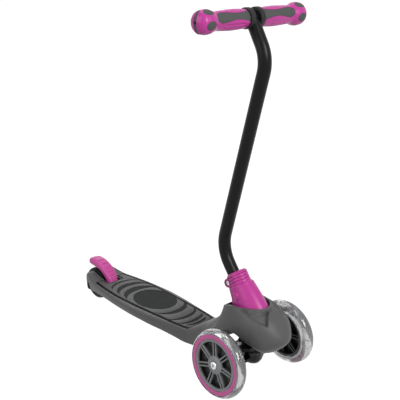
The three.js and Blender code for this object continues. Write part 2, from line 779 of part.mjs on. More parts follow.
function buildCollar() {
  const rings = [
    skirtRing(-8, rimHeight - 17, 4, 24, 19),
    skirtRing(-10, rimHeight - 9, 7, 33, 23),
    ...skirtRows.map(([h, x, tilt, a, b]) => skirtRing(x, rimHeight + h, tilt, a, b)),
  ];
  let collar = loft(rings);
  const band = [[0, -28.5], [23.6, -28.5], [23.6, -26.2], [collarBand + 0.4, -22.5]];
  for (let i = 0; i < 3; i++) {
    const z = -21.6 + i * 5.3;
    band.push([collarBand, z], [collarBand, z + 4], [collarBand - 1.2, z + 4.9]);
  }
  band.push([collarBand, -5.7], [collarBand, -4.8], [collarBand - 1.7, -1.6], [collarBand - 4.8, 0], [0, 0]);
  const oblong = lathe(band, 20).scale([1, bandShare, 1]).translate([bandAhead, 0, 0]);
  collar = collar.add(inCollar(oblong));
  // clamp ear at the back
  const ear = placed(rod(clampEar, -earHalf, earHalf, 20), [clampAt[0], 0, clampAt[1]], [0, 1, 0]);
  const root = block(clampAt[0], -8, -earHalf, earHalf, clampAt[1] - clampEar, clampAt[1] + clampEar);
  collar = collar.add(inCollar(ear.add(root)));
  // stem, spring wings and lever below
  const stemX = [-12.6, 13.6];
  const wingLow = plateTop + springShare * (leanHeight - plateTop);
  const stem = block(stemX[0], stemX[1], -pivotEye, pivotEye, leanHeight, stemTop);
  const eye = alongX(rod(pivotEye, stemX[0], stemX[1], 20), 0, 0, leanHeight);
  const lever = block(-6, 6, -leverHalf, leverHalf, leverTip, leanHeight);
  const tip = alongX(rod(leverHalf + 0.1, -6, 6, 12), 0, 0, leverTip);
  const wings = block(-5, 9, -springSide - 6, springSide + 6, wingLow, wingLow + 5);
  const web = block(-5, 9, -8, 8, wingLow, leanHeight);
  collar = union([collar, stem, eye, lever, tip, wings, web]);
  collar = collar.subtract(alongX(rod(kingpinRadius + 0.2, -40, 40, 16), 0, 0, leanHeight));
  // room for the cheeks of the truck
  const cheekTop = leanHeight + cheekRise + 0.1;
  [-cheekRear, cheekFront - cheekThick].forEach((x0) => {
    const room = block(x0 - 0.2, x0 + cheekThick + 0.2, -cheekHalf - 4, cheekHalf + 4, plateTop, cheekTop);
    collar = collar.subtract(room);
  });
  // bore, slit and bolt hole
  collar = collar.subtract(
    inCollar(rod(tubeRadius + 0.3, -54.5, 5, 24).translate([-tubeOffset, 0, 0])),
  );
  collar = collar.subtract(inCollar(block(-40, -tubeOffset, -1.2, 1.2, -24, 5)));
  const boltHole = rod(2.6, -20, 20, 12)
    .add(rod(clampRoom, clampSeat, 20, 16))
    .add(rod(clampRoom, -20, -clampSeat, 16));
  collar = collar.subtract(
    inCollar(placed(boltHole, [clampAt[0], 0, clampAt[1]], [0, 1, 0])),
  );
  // button pocket
  const pocket = placed(
    oval(buttonHalf[0] + slideGap, buttonHalf[1] + slideGap, 15, 40, 20),
    [buttonAt[0], 0, buttonAt[1]],
    [0, -1, 0],
  );
  collar = collar.subtract(inCollar(pocket));
  add("collar", collar, paint.pink);

  const button = lathe([
    [0, 18.8], [1, 18.8], [1, 22.3], [0.9, 22.8], [0, 23.1],
  ], 20);
  const sized = button.scale([buttonHalf[0], buttonHalf[1], 1]);
  const place = [buttonAt[0], 0, buttonAt[1]];
  add("release_button", inCollar(placed(sized, place, [0, -1, 0])), paint.pink);
  const spring = coil(2.6, 0.4, 15.1, 18.7, 2.5);
  add("button_spring", inCollar(placed(spring, place, [0, -1, 0])), paint.steel);

  const at = [clampAt[0], 0, clampAt[1]];
  const headLow = clampSeat + seatGap;
  const bolt = lathe([
    [0, -headLow - 3.6], [2.4, -headLow - 3.6], [2.4, headLow], [4.4, headLow],
    [4.4, headLow + 2], [3.4, headLow + 2.8], [0, headLow + 2.8],
  ], 14);
  add("clamp_bolt", inCollar(placed(bolt, at, [0, -1, 0])), paint.steel);
  const nut = rod(4.6, -headLow - 3.2, -headLow, 6).subtract(rod(2.5, -20, 0, 14));
  add("clamp_nut", inCollar(placed(nut, at, [0, -1, 0])), paint.steel);
}

// Column: corners of its centre line with the bend radius at each inner corner.
function columnPath() {
  const end = collarPoint(-tubeOffset, 0, -54);
  // the lower bend lies where the middle run meets the axis of the collar
  const axis = new THREE.Vector2(up[0], up[2]);
  const slope = new THREE.Vector2(...middleRun);
  const det = axis.x * -slope.y + axis.y * slope.x;
  const dx = upperBend[0] - end[0];
  const dz = upperBend[1] - end[2];
  const t = (dx * -slope.y + dz * slope.x) / det;
  const lowerBend = [end[0] + axis.x * t, end[2] + axis.y * t];
  const kept = [[barX, barZ], upperBend, lowerBend, [end[0], end[2]]];
  const keptRadii = [0, ...bendRadii, 0];
  const points = [];
  kept.forEach(([x, z], i) => {
    if (!keptRadii[i]) {
      points.push([x, z]);
      return;
    }
    const here = new THREE.Vector2(x, z);
    const a = new THREE.Vector2(...kept[i - 1]).sub(here).normalize();
    const b = new THREE.Vector2(...kept[i + 1]).sub(here).normalize();
    const half = Math.acos(a.dot(b)) / 2;
    const middle = a.clone().add(b).normalize();
    const centre = here.clone().addScaledVector(middle, keptRadii[i] / Math.sin(half));
    const from = here.clone().addScaledVector(a, keptRadii[i] / Math.tan(half)).sub(centre);
    const to = here.clone().addScaledVector(b, keptRadii[i] / Math.tan(half)).sub(centre);
    const first = Math.atan2(from.y, from.x);
    let turn = Math.atan2(to.y, to.x) - first;
    if (turn > Math.PI) turn -= 2 * Math.PI;
    if (turn < -Math.PI) turn += 2 * Math.PI;
    const steps = 5;
    for (let k = 0; k <= steps; k++) {
      const angle = first + (turn * k) / steps;
      points.push([
        centre.x + keptRadii[i] * Math.cos(angle),
        centre.y + keptRadii[i] * Math.sin(angle),
      ]);
    }
  });
  return points;
}

// A round bar along a path in the XZ plane.
function sweep(points, radius, segments) {
  const rings = points.map(([x, z], i) => {
    const before = points[Math.max(i - 1, 0)];
    const after = points[Math.min(i + 1, points.length - 1)];
    const along = new THREE.Vector2(after[0] - before[0], after[1] - before[1]).normalize();
    const rows = [];
    for (let j = 0; j < segments; j++) {
      const turn = (2 * Math.PI * j) / segments;
      const a = radius * Math.cos(turn);
      rows.push([x + a * along.y, radius * Math.sin(turn), z - a * along.x]);
    }
    return rows;
  });
  return loft(rings);
}

function stretched(points, by) {
  const rows = points.map((row) => [...row]);
  [[0, 1], [rows.length - 1, rows.length - 2]].forEach(([i, j]) => {
    const along = new THREE.Vector2(rows[i][0] - rows[j][0], rows[i][1] - rows[j][1]).normalize();
    rows[i] = [rows[i][0] + along.x * by, rows[i][1] + along.y * by];
  });
  return rows;
}

function buildColumn() {
  const path = columnPath();
  let tube = sweep(path, tubeRadius, 16);
  tube = tube.subtract(sweep(stretched(path, 5), tubeRadius - tubeWall, 8));
  tube = tube.subtract(alongY(rod(barRadius + seatGap, -30, 30, 20), barX, 0, barZ));
  const pieces = tube.decompose().sort((a, b) => b.volume() - a.volume());
  add("column_tube", pieces[0], paint.black);
  add("crossbar", alongY(pipe(barRadius, barRadius - 2, -barHalf, barHalf, 20), barX, 0, barZ), paint.black);

  const outside = (inset) => {
    const last = gripRows[gripRows.length - 4][0];
    const rows = gripRows.map(([y, r]) => [Math.max(r - inset, 0.6), y - (y > last ? inset : 0)]);
    return [[0, rows[0][1]], ...rows, [0, rows[rows.length - 1][1]]];
  };
  const strip = (grow) => {
    const last = stripRows[stripRows.length - 1][0];
    const rows = stripRows.map(([y, w]) => [y + (y === last ? grow : 0), w + grow]);
    return prism([...rows, ...rows.map(([y, w]) => [y, -w]).reverse()], 9, 30);
  };
  const facing = (shape, degrees) =>
    placed(shape, [0, 0, 0], [Math.sin(degrees * DEG), Math.cos(degrees * DEG), 0], [0, 0, 1]);
  const windows = (grow) => {
    const list = [facing(strip(grow), stripTurn)];
    for (let i = 0; i < 5; i++) {
      const spot = oval(spotHalf[0] + grow, spotHalf[1] + grow, 11, 30, 8).translate([ballAt, 0, 0]);
      list.push(facing(spot, spotTurn + 72 * i));
    }
    return union(list);
  };
  const endBand = (grow) => block(-4.4 - grow, 4.4 + grow, -30, 30, bandFrom - grow, bandFrom + 18);
  const shell = lathe(outside(0), 18)
    .subtract(rod(coreRadius + seatGap, 0, coreEnd + 0.4, 16))
    .subtract(windows(slideGap))
    .subtract(endBand(slideGap));
  const flange = [
    [barRadius + seatGap, flangeFrom], [flangeRadius - 1.2, flangeFrom],
    [flangeRadius, flangeFrom + 1.2], [flangeRadius, flangeTo - 1.2],
    [flangeRadius - 1.2, flangeTo], [barRadius + seatGap, flangeTo],
  ];
  const inner = lathe(outside(0.6), 16);
  const raised = inner.intersect(windows(0)).add(inner.intersect(endBand(0)));
  let core = rod(coreRadius, flangeFrom + 1, coreEnd, 16).add(raised).add(lathe(flange, 20));
  core = core.subtract(rod(barRadius + 0.35, 0, barHalf + 1, 16));
  core = core.subtract(rod(2.4, barHalf - 6, 2 * barHalf, 10));
  const upperAim = [path[1][0] - path[0][0], 0, path[1][1] - path[0][1]];
  [["left", 1], ["right", -1]].forEach(([name, side]) => {
    const set = (shape) => {
      const turned = placed(shape, [barX, 0, barZ], [0, 1, 0]);
      return side > 0 ? turned : turned.mirror([0, 1, 0]);
    };
    const shells = set(shell).decompose().sort((a, b) => b.volume() - a.volume());
    add("grip_shell_" + name, shells[0], paint.pink);
    const saddle = placed(rod(tubeRadius + 0.45, 0, 40, 20), [barX, 0, barZ], upperAim, [0, 1, 0]);
    const cut = set(core).subtract(saddle).decompose().sort((a, b) => b.volume() - a.volume());
    add("grip_core_" + name, cut[0], paint.darkGrey);
  });
}

function buildLinkage() {
  // tie plate
  const tieTop = tieBottom + tieThick;
  let plate = block(-armLength - 5, -armLength + 5, -kingpinSpread - 5, kingpinSpread + 5, tieBottom, tieTop);
  plate = plate.add(block(-armLength, 9, -9, 9, tieBottom, tieTop));
  plate = plate.subtract(block(-7, 7, -leverHalf - 0.1 - slideGap, leverHalf + 0.1 + slideGap, 50, 80));
  kingpins.forEach((y) => {
    const slot = oval(4.2, 3 + slideGap, 50, 80, 16).translate([-armLength + 0.5, y, 0]);
    plate = plate.subtract(slot);
  });
  add("tie_plate", plate, paint.black);

  const camber = wheelCamber * DEG;
  const centreZ = (wheelRadius - crownRadius) * Math.cos(camber) + crownRadius;
  [["left", 1], ["right", -1]].forEach(([name, side]) => {
    const out = [0, side * Math.cos(camber), Math.sin(camber)];
    const centre = [0, (side * wheelTrack) / 2, centreZ];
    const pinY = side * kingpinSpread;
    const set = (shape) => placed(shape, centre, out, [-side, 0, 0]);
    const armTop = tieBottom - 0.4;
    const armLow = 53;
    let knuckle = rod(barrelRadius, barrelBottom, barrelTop, 16).translate([0, pinY, 0]);
    const reach = -(wheelTrack / 2 - kingpinSpread) / Math.cos(camber);
    knuckle = knuckle.add(set(lathe([
      [0, reach], [8.5, reach], [8.5, bearingIn - 3], [6.2, bearingIn - 2], [6.2, bearingIn - seatGap],
      [0, bearingIn - seatGap],
    ], 16)));
    const arm = prism(
      [[3, -6.5], [3, 6.5], [-armLength, 4.6], [-armLength - 4, 2.4], [-armLength - 4, -2.4], [-armLength, -4.6]],
      armLow,
      armTop,
    );
    knuckle = knuckle.add(arm.translate([0, pinY, 0]));
    knuckle = knuckle.add(rod(3, armLow, tieTop + 3, 14).translate([-armLength, pinY, 0]));
    knuckle = knuckle.subtract(rod(kingpinRadius + 0.15, 30, 90, 14).translate([0, pinY, 0]));
    knuckle = knuckle.subtract(set(rod(axleRadius + 0.15, reach + 12, 10, 12)));
    add("knuckle_" + name, knuckle, paint.black);

    const face = bearingOut + bearingWidth;
    const bolt = lathe([
      [0, reach + 13], [axleRadius, reach + 13], [axleRadius, face + seatGap], [capRadius, face + seatGap],
      [capRadius, face + 2.2], [capRadius - 1, face + 3.4], [capRadius - 3, face + 3.9], [0, face + 4],
    ], 18);
    add("axle_bolt_" + name, set(bolt), paint.steel);
    const gapLow = bearingIn + bearingWidth + 0.1;
    add("axle_spacer_" + name, set(pipe(5.8, axleRadius + 0.15, gapLow, bearingOut - 0.1, 12)), paint.steel);

    buildWheel(name, side, set);
  });
}

function bearing(z0) {
  const z1 = z0 + bearingWidth;
  const rim = bearingOuter - 0.3;
  const hole = bearingBore + 0.2;
  return lathe([[hole, z0], [rim, z0], [rim, z1], [hole, z1]], 12);
}

function spokes(z0, z1, from, to, start) {
  const bars = [];
  for (let i = 0; i < spokePairs; i++) {
    [-1, 1].forEach((side) => {
      const y = (side * (spokeSlot + spokeWidth)) / 2;
      const bar = block(from, to, y - spokeWidth / 2, y + spokeWidth / 2, z0, z1);
      bars.push(bar.rotate([0, 0, start + (360 * i) / spokePairs]));
    });
  }
  return union(bars);
}

function buildWheel(name, side, set) {
  const start = side > 0 ? 180 + spokeTurn : -spokeTurn;
  const crown = [];
  const outerAngle = Math.acos((ringOuter + 0.3 - (wheelRadius - crownRadius)) / crownRadius);
  const steps = 7;
  for (let i = 0; i <= steps; i++) {
    const turn = outerAngle + ((-90 * DEG - outerAngle) * i) / steps;
    crown.push([
      wheelRadius - crownRadius + crownRadius * Math.cos(turn),
      crownRadius * Math.sin(turn),
    ]);
  }
  const recess = ringFace - ringDepth - seatGap;
  const tyre = lathe([
    [tyreBore, -crownRadius + 0.3], [tyreBore, recess], [ringOuter + 0.3, recess], ...crown,
  ], 32);
  add("tyre_" + name, set(tyre), paint.clear);
  const ringLow = ringFace - ringDepth;
  add("trim_ring_" + name, set(lathe([
    [ringInner, ringLow], [ringOuter, ringLow], [ringOuter, ringFace], [ringInner, ringFace],
  ], 34)), paint.pink);

  // hub core: rim, web, boss and inner ribs
  const rimRadius = rimOuter - 1.4;
  let core = pipe(rimRadius, rimInner - 0.8, -12.4, faceBack - seatGap, 22);
  for (let i = 0; i < 6; i++) {
    const lug = block(rimRadius - 1, rimOuter, -2.6, 2.6, -11, 4);
    core = core.add(lug.rotate([0, 0, (360 * i) / 6]));
  }
  core = core.add(pipe(rimInner, hubBoss - 1, -1, 1.5, 22));
  for (let i = 0; i < spokePairs; i++) {
    const half = (spokeSlot + spokeWidth) / 2;
    const rib = block(hubBoss - 1, rimInner, -half, half, -9.5, 0);
    core = core.add(rib.rotate([0, 0, start + (360 * i) / spokePairs]));
  }
  core = core.add(pipe(hubBoss, 8.5, bearingIn - 0.5, bearingOut + bearingWidth - 0.2, 20));
  core = core.subtract(rod(bearingOuter, -20, bearingIn + bearingWidth, 18));
  core = core.subtract(rod(bearingOuter, bearingOut, 20, 18));
  add("hub_core_" + name, set(core), paint.black);

  // hub face: rim band, twin spokes and boss
  const bossLow = faceBack;
  const bossTop = faceFront + 0.7;
  let face = pipe(rimOuter, rimInner, faceBack, faceFront, 36);
  face = face.add(spokes(faceBack + 0.4, spokeFront, hubBoss, rimInner + 1, start));
  face = face.add(lathe([
    [hubBoss + seatGap, bossLow], [hubBoss + 2, bossLow], [hubBoss + 2, spokeFront], [11.4, bossTop],
    [capRadius + 0.6, bossTop], [capRadius + 0.6, bossTop - 1.6], [hubBoss + seatGap, bossTop - 1.6],
  ], 20));
  add("hub_face_" + name, set(face), paint.treadGrey);

  ["inner", "outer"].forEach((place, i) => {
    add("bearing_" + place + "_" + name, set(bearing(i ? bearingOut : bearingIn)), paint.steel);
  });
}

function buildRear() {
  const set = (shape) => alongY(shape, rearAxle[0], 0, rearAxle[1]);
  const half = rearWidth / 2;
  const tyre = lathe([
    [rearBore + seatGap, -half + 1.5], [rearRadius - 5, -half], [rearRadius - 1.5, -half + 3],
    [rearRadius, 0], [rearRadius - 1.5, half - 3], [rearRadius - 5, half],
    [rearBore + seatGap, half - 1.5],
  ], 28);
  add("rear_tyre", set(tyre), paint.softDark);
  let hub = pipe(rearBore, rearBore - 3, -half + 1.2, half - 1.2, 20);
  hub = hub.add(pipe(rearBore - 1, 12, -1.5, 1.5, 20));
  hub = hub.add(pipe(14, 8.5, -half + 0.6, half - 0.6, 16));
  hub = hub.subtract(rod(bearingOuter, rearBearingIn, 20, 16));
  hub = hub.subtract(rod(bearingOuter, -20, -rearBearingIn, 16));
  add("rear_hub", set(hub), paint.black);
  add("rear_bearing_left", set(bearing(rearBearingIn)), paint.steel);
  add("rear_bearing_right", set(bearing(-rearBearingIn - bearingWidth)), paint.steel);
  const spacerHalf = rearBearingIn - 0.1;
  add("rear_spacer", set(pipe(5.8, axleRadius + 0.15, -spacerHalf, spacerHalf, 12)), paint.steel);
  const seat = rearSeat + seatGap;
  const bolt = lathe([
    [0, seat + 5], [axleRadius, seat + 5], [axleRadius, -seat], [6.4, -seat], [6.4, -seat - 3],
    [5.2, -seat - 4], [0, -seat - 4],
  ], 18);
  add("rear_axle_bolt", set(bolt), paint.steel);
  add("rear_axle_nut", set(hexNut(6.8, seat, rearSeat + 5)), paint.steel);
}

function buildBrake() {
  const rings = fenderRows.map(([x, z, px, pz, half]) => {
    const rows = [];
    for (let i = 0; i < 10; i++) {
      const turn = (2 * Math.PI * (i + 0.5)) / 10;
      const [c, d] = [Math.cos(turn), Math.sin(turn)];
      const y = half * Math.sign(c) * Math.abs(c) ** fenderShare;
      const t = (1 + Math.sign(d) * Math.abs(d) ** fenderShare) / 2;
      rows.push([px + (x - px) * t, y, pz + (z - pz) * t]);
    }
    return rows;
  });
  let fender = loft(rings);
  // cross grooves of the tread
  const ribs = [];
  for (let i = 2; i < 9; i++) {
    const [x, z] = fenderRows[i];
    const [px, pz] = fenderRows[i + 1];
    const angle = Math.atan2(pz - z, px - x);
    ribs.push(placed(
      block(-1, 1, -fenderHalf - 1, fenderHalf + 1, -0.7, 3),
      [(x + px) / 2, 0, (z + pz) / 2],
      [Math.sin(angle), 0, -Math.cos(angle)],
    ));
  }
  fender = fender.subtract(union(ribs));
  const eye = alongY(rod(6.2, -fenderHalf, fenderHalf, 20), brakePinX, 0, brakePinZ);
  fender = fender.add(eye);
  fender = fender.add(alongY(rod(4.6, slideGap - brakeSlot, brakeSlot - slideGap, 16), brakePinX, 0, brakePinZ));
  fender = fender.subtract(alongY(rod(2.6, -30, 30, 14), brakePinX, 0, brakePinZ));
  add("brake_fender", fender, paint.pink);
  add("brake_pin", alongY(rod(2.4, -24.5, 24.5, 14), brakePinX, 0, brakePinZ), paint.steel);
  const spring = coil(2.9, 0.55, wellFloor + springPlay, brakeSpringTop, 4);
  add("brake_spring", spring.translate([-brakeSpringX, 0, 0]), paint.steel);
}

function buildSprings() {
  const low = plateTop + springPlay;
  const top = plateTop + springShare * (leanHeight - plateTop) - springPlay;
  const turns = Math.max(1, Math.round((top - low - 2 * springWire) / springPitch));
  ["left", "right"].forEach((name, i) => {
    const y = i ? -springSide : springSide;
    const spring = coil(3.9, springWire, low, top, turns).translate([2, y, 0]);
    add("centring_spring_" + name, spring, paint.steel);
  });
}

add("deck", buildDeck(), paint.darkGrey);
buildTread();
buildTruck();
buildCollar();
buildColumn();
buildLinkage();
buildRear();
buildBrake();
buildSprings();

// Bottom centre of the bounding box to the origin.
const bounds = new THREE.Box3().setFromObject(group);
group.position.set(-(bounds.min.x + bounds.max.x) / 2, -(bounds.min.y + bounds.max.y) / 2, -bounds.min.z);

export default exported;
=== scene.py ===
"""Looks of the three wheel kids scooter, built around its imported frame.

Shapes are drawn in millimetres from the front axle line on the floor and are moved
and scaled into the frame's metres when a piece is finished.
"""

import math

import bmesh
import bpy
from mathutils import Matrix, Vector


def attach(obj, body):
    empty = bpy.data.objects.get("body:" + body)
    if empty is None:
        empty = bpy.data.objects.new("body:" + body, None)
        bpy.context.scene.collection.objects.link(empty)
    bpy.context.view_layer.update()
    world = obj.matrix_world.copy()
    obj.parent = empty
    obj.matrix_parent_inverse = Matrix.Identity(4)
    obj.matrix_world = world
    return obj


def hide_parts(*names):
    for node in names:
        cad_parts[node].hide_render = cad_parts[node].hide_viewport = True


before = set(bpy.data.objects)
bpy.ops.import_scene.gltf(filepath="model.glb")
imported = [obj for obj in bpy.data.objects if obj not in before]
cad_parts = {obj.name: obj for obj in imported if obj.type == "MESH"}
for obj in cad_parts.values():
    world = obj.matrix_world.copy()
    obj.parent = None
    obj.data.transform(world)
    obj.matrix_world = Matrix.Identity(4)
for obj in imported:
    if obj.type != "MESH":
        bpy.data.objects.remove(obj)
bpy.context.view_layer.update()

MM = 0.001
# from the frame's middle forward to the front axle line
FRONT_AXLE = 207.75
# edges that bend more than this are shaded sharp
SHARP = math.radians(32)
DECK_SHARP = math.radians(28)


# Shader sums


class Signal:
    """An output socket that takes part in Python sums."""

    def __init__(self, nodes, socket):
        self.nodes = nodes
        self.socket = socket

    def _sum(self, operation, first, second):
        return self.nodes.node(
            "ShaderNodeMath", {"operation": operation}, {0: first, 1: second}
        )

    def __add__(self, other):
        return self._sum("ADD", self, other)

    def __radd__(self, other):
        return self._sum("ADD", other, self)

    def __sub__(self, other):
        return self._sum("SUBTRACT", self, other)

    def __rsub__(self, other):
        return self._sum("SUBTRACT", other, self)

    def __mul__(self, other):
        return self._sum("MULTIPLY", self, other)

    def __rmul__(self, other):
        return self._sum("MULTIPLY", other, self)


class Nodes:
    """A node tree; every node of it is made by one method."""

    def __init__(self, tree):
        self.tree = tree

    def node(self, kind, settings=None, inputs=None, output=0):
        made = self.tree.nodes.new(kind)
        for key, value in (settings or {}).items():
            setattr(made, key, value)
        for key, value in (inputs or {}).items():
            if isinstance(value, Signal):
                self.tree.links.new(value.socket, made.inputs[key])
            else:
                made.inputs[key].default_value = value
        return Signal(self, made.outputs[output]) if made.outputs else None

    def rays(self, *names):
        """1 for rays of the named kinds and 0 for all others."""
        share = 0.0
        for name in names:
            seen = self.node("ShaderNodeLightPath", output=name)
            larger = {"operation": "MAXIMUM"}
            share = self.node("ShaderNodeMath", larger, {0: seen, 1: share})
        return share


class Finish(Nodes):
    """A node material with one Principled surface."""

    def __init__(self, name, **uniform):
        self.material = bpy.data.materials.new(name)
        self.material.use_nodes = True
        super().__init__(self.material.node_tree)
        self.surface = self.tree.nodes["Principled BSDF"]
        for key, value in uniform.items():
            self.surface.inputs[key.replace("_", " ")].default_value = value

    def place(self):
        return self.node("ShaderNodeTexCoord", output="Object")

    def noise(self, scale, detail, stretch=(1, 1, 1)):
        at = self.node("ShaderNodeMapping", {}, {"Vector": self.place(), "Scale": stretch})
        values = {"Vector": at, "Scale": scale, "Detail": detail}
        return self.node("ShaderNodeTexNoise", {}, values, "Fac")

    def blend(self, share, low, high):
        values = {0: share, 6: (*low, 1), 7: (*high, 1)}
        return self.node("ShaderNodeMix", {"data_type": "RGBA"}, values, 2)

    def feed(self, name, signal):
        self.tree.links.new(signal.socket, self.surface.inputs[name])

    def relief(self, height, depth):
        values = {"Height": height, "Distance": depth, "Strength": 1.0}
        self.feed("Normal", self.node("ShaderNodeBump", {}, values))


# Moulded surfaces: clouds per metre, their share of the mottling, range of roughness
CLOUD_SCALE = 70.0
CLOUD_SHARE = 0.7
GLOSS_RANGE = 0.1


def shade(color, share):
    return tuple(c * share for c in color)


def moulded(name, color, rough, grain, depth, mottle=0.06, **uniform):
    """Moulded plastic or rubber: fine grain, slight mottling and uneven gloss."""
    made = Finish(name, **uniform)
    clouds = made.noise(CLOUD_SCALE, 3.0)
    specks = made.noise(grain, 2.0)
    share = clouds * CLOUD_SHARE + specks * (1 - CLOUD_SHARE)
    low, high = shade(color, 1 - mottle), shade(color, 1 + mottle)
    made.feed("Base Color", made.blend(share, low, high))
    made.feed("Roughness", (clouds - 0.5) * GLOSS_RANGE + rough)
    made.relief(specks, depth)
    return made.material


def grey(level):
    return (level, level, level * 1.01)


def gloss(level):
    return {"Specular_IOR_Level": level}


PLAIN = gloss(0.35)

# name, colour, roughness, grain per metre, depth of the grain in metres, mottling
deck_grey = moulded("deck_plastic", grey(0.079), 0.5, 1500, 0.00012, **PLAIN)
tread_grey = moulded("tread_plastic", grey(0.076), 0.62, 1100, 0.0002, **PLAIN)
soft_dark = moulded(
    "tread_rubber", (0.009, 0.0105, 0.0105), 0.7, 1300, 0.00015, **gloss(0.15)
)
# near black: the shade of the groove round the tread painted into its rubber lip, darker than
# the underlay rubber that the lip belongs to
edge_black_groove_shade = moulded("edge_rubber_groove_shade", grey(0.002), 0.6, 1300, 0.0001, **gloss(0.06))
black_plastic = moulded("black_plastic", grey(0.005), 0.42, 1400, 0.0001, **gloss(0.12))
pink = moulded("pink_plastic", (0.48, 0.038, 0.28), 0.33, 900, 0.00002, 0.03, **PLAIN)
button_pink = moulded(
    "button_plastic", (0.56, 0.025, 0.30), 0.3, 900, 0.00002, 0.03, **PLAIN
)
fender_pink = moulded(
    "fender_plastic", (0.62, 0.08, 0.35), 0.42, 900, 0.00003, 0.03, **PLAIN
)
ring_pink = moulded("ring_plastic", (0.60, 0.11, 0.34), 0.33, 900, 0.00002, 0.03, **PLAIN)
hub_grey = moulded("hub_plastic", (0.235, 0.24, 0.25), 0.45, 1200, 0.00008, **PLAIN)
grip_grey = moulded("grip_rubber", (0.060, 0.065, 0.062), 0.62, 1500, 0.0002, **PLAIN)
rear_rubber = moulded("rear_urethane", grey(0.004), 0.4, 900, 0.0001, **gloss(0.12))
drum_black = moulded("drum_rubber", grey(0.018), 0.55, 1500, 0.0001, **gloss(0.2))
hub_black = moulded("hub_black", grey(0.02), 0.3, 1400, 0.0001, **gloss(0.3))
bowl_black = moulded("bowl_black", grey(0.002), 0.3, 1400, 0.0001, **gloss(0.14))


def coated():
    """Black powder coat with a fine orange peel."""
    made = Finish("gloss_powder_coat", **gloss(0.15))
    peel = made.noise(420.0, 1.0)
    clouds = made.noise(40.0, 2.0)
    low, high = (0.0025, 0.0025, 0.003), (0.0045, 0.0045, 0.005)
    made.feed("Base Color", made.blend(clouds, low, high))
    made.feed("Roughness", clouds * 0.05 + 0.3)
    made.relief(peel, 0.00002)
    return made.material


def plated(name, level, rough):
    """Bare or plated steel with a faint brushed grain."""
    made = Finish(name, Metallic=1.0)
    brush = made.noise(900.0, 2.0, (1, 6, 1))
    low, high = shade(grey(level), 0.9), shade(grey(level), 1.05)
    made.feed("Base Color", made.blend(brush, low, high))
    made.feed("Roughness", brush * 0.12 + rough)
    made.relief(brush, 0.00002)
    return made.material


def urethane(name, low, high, **uniform):
    """Cast urethane, clear or milky, with a slightly wavy skin; the milky one is pale partly
    as a painted reflection.
    """
    made = Finish(name, IOR=1.48, **uniform)
    clouds = made.noise(60.0, 2.0)
    made.feed("Base Color", made.blend(clouds, low, high))
    made.feed("Roughness", clouds * 0.05 + 0.05)
    made.relief(made.noise(160.0, 1.0), 0.00005)
    return made.material


black_coat = coated()
steel = plated("zinc_plate", 0.62, 0.22)
dark_steel = plated("bearing_steel", 0.35, 0.3)
black_steel = plated("black_steel", 0.05, 0.35)
clear = urethane(
    "clear_urethane", (0.52, 0.53, 0.535), (0.64, 0.65, 0.655), Transmission_Weight=0.86
)
# the core's edge under the clear tyre; part of its paleness is a painted reflection of the rim
# edge
milky_edge_and_reflection = urethane(
    "core_edge_urethane_and_painted_reflection", (0.80, 0.81, 0.815), (0.90, 0.905, 0.91), Transmission_Weight=0.15
)


# Mesh helpers


def solid(verts, faces, name="shape"):
    """A mesh object whose faces all turn outwards."""
    mesh = bpy.data.meshes.new(name)
    mesh.from_pydata([tuple(v) for v in verts], [], faces)
    work = bmesh.new()
    work.from_mesh(mesh)
    bmesh.ops.remove_doubles(work, verts=work.verts, dist=1e-4)
    bmesh.ops.recalc_face_normals(work, faces=work.faces)
    work.to_mesh(mesh)
    work.free()
    made = bpy.data.objects.new(name, mesh)
    bpy.context.scene.collection.objects.link(made)
    return made


def turned(shape, matrix):
    shape.data.transform(matrix)
    if matrix.determinant() < 0:
        shape.data.flip_normals()
    return shape


def moved(shape, x, y=0.0):
    return turned(shape, Matrix.Translation((x, y, 0)))


def copied(shape):
    made = bpy.data.objects.new(shape.name, shape.data.copy())
    bpy.context.scene.collection.objects.link(made)
    return made


def settled(shape):
    """Takes the shape's modifiers into its mesh."""
    graph = bpy.context.evaluated_depsgraph_get()
    mesh = bpy.data.meshes.new_from_object(shape.evaluated_get(graph))
    shape.modifiers.clear()
    shape.data = mesh
    return shape


def combined(target, others, operation):
    for other in others:
        step = target.modifiers.new("step", "BOOLEAN")
        step.operation = operation
        step.solver = "MANIFOLD"
        step.object = other
    settled(target)
    for other in others:
        bpy.data.objects.remove(other)
    return target


def joined(target, *others):
    return combined(target, others, "UNION")


def cut(target, *others):
    return combined(target, others, "DIFFERENCE")


def common(target, other):
    return combined(target, [other], "INTERSECT")


def rounded(shape, width, segments=2, angle=40):
    """Bevels the edges that are sharper than the angle."""
    step = shape.modifiers.new("step", "BEVEL")
    step.width = width
    step.segments = segments
    step.limit_method = "ANGLE"
    step.angle_limit = math.radians(angle)
    return settled(shape)


def skin(rings, closed=False):
    """Quads between rings of equal count; the two ends are capped unless closed."""
    count = len(rings[0])
    verts = [v for ring in rings for v in ring]
    faces = []
    rows = len(rings)
    for i in range(rows if closed else rows - 1):
        for j in range(count):
            a = i * count + j
            b = i * count + (j + 1) % count
            c = ((i + 1) % rows) * count
            faces.append((a, b, c + (j + 1) % count, c + j))
    if not closed:
        faces.append(tuple(range(count)))
        faces.append(tuple((rows - 1) * count + j for j in range(count)))
    return solid(verts, faces)


def lathe(rows, segments, shaped=None):
    """A body of revolution about Z from closed rows of (radius, height).

    shaped gives a row's radius at an angle where the body isn't round.
    """
    rings = []
    for j in range(segments):
        turn = 2 * math.pi * j / segments
        ring = []
        for r, z in rows:
            radius = shaped(r, z, turn) if shaped else r
            ring.append((radius * math.cos(turn), radius * math.sin(turn), z))
        rings.append(ring)
    return skin(rings, closed=True)


def arc(centre_r, centre_z, radius, start, end, count):
    """Points (radius, height) of an arc from one angle to another, in degrees."""
    rows = []
    for k in range(count + 1):
        turn = math.radians(start + (end - start) * k / count)
        r = centre_r + radius * math.cos(turn)
        rows.append((r, centre_z + radius * math.sin(turn)))
    return rows


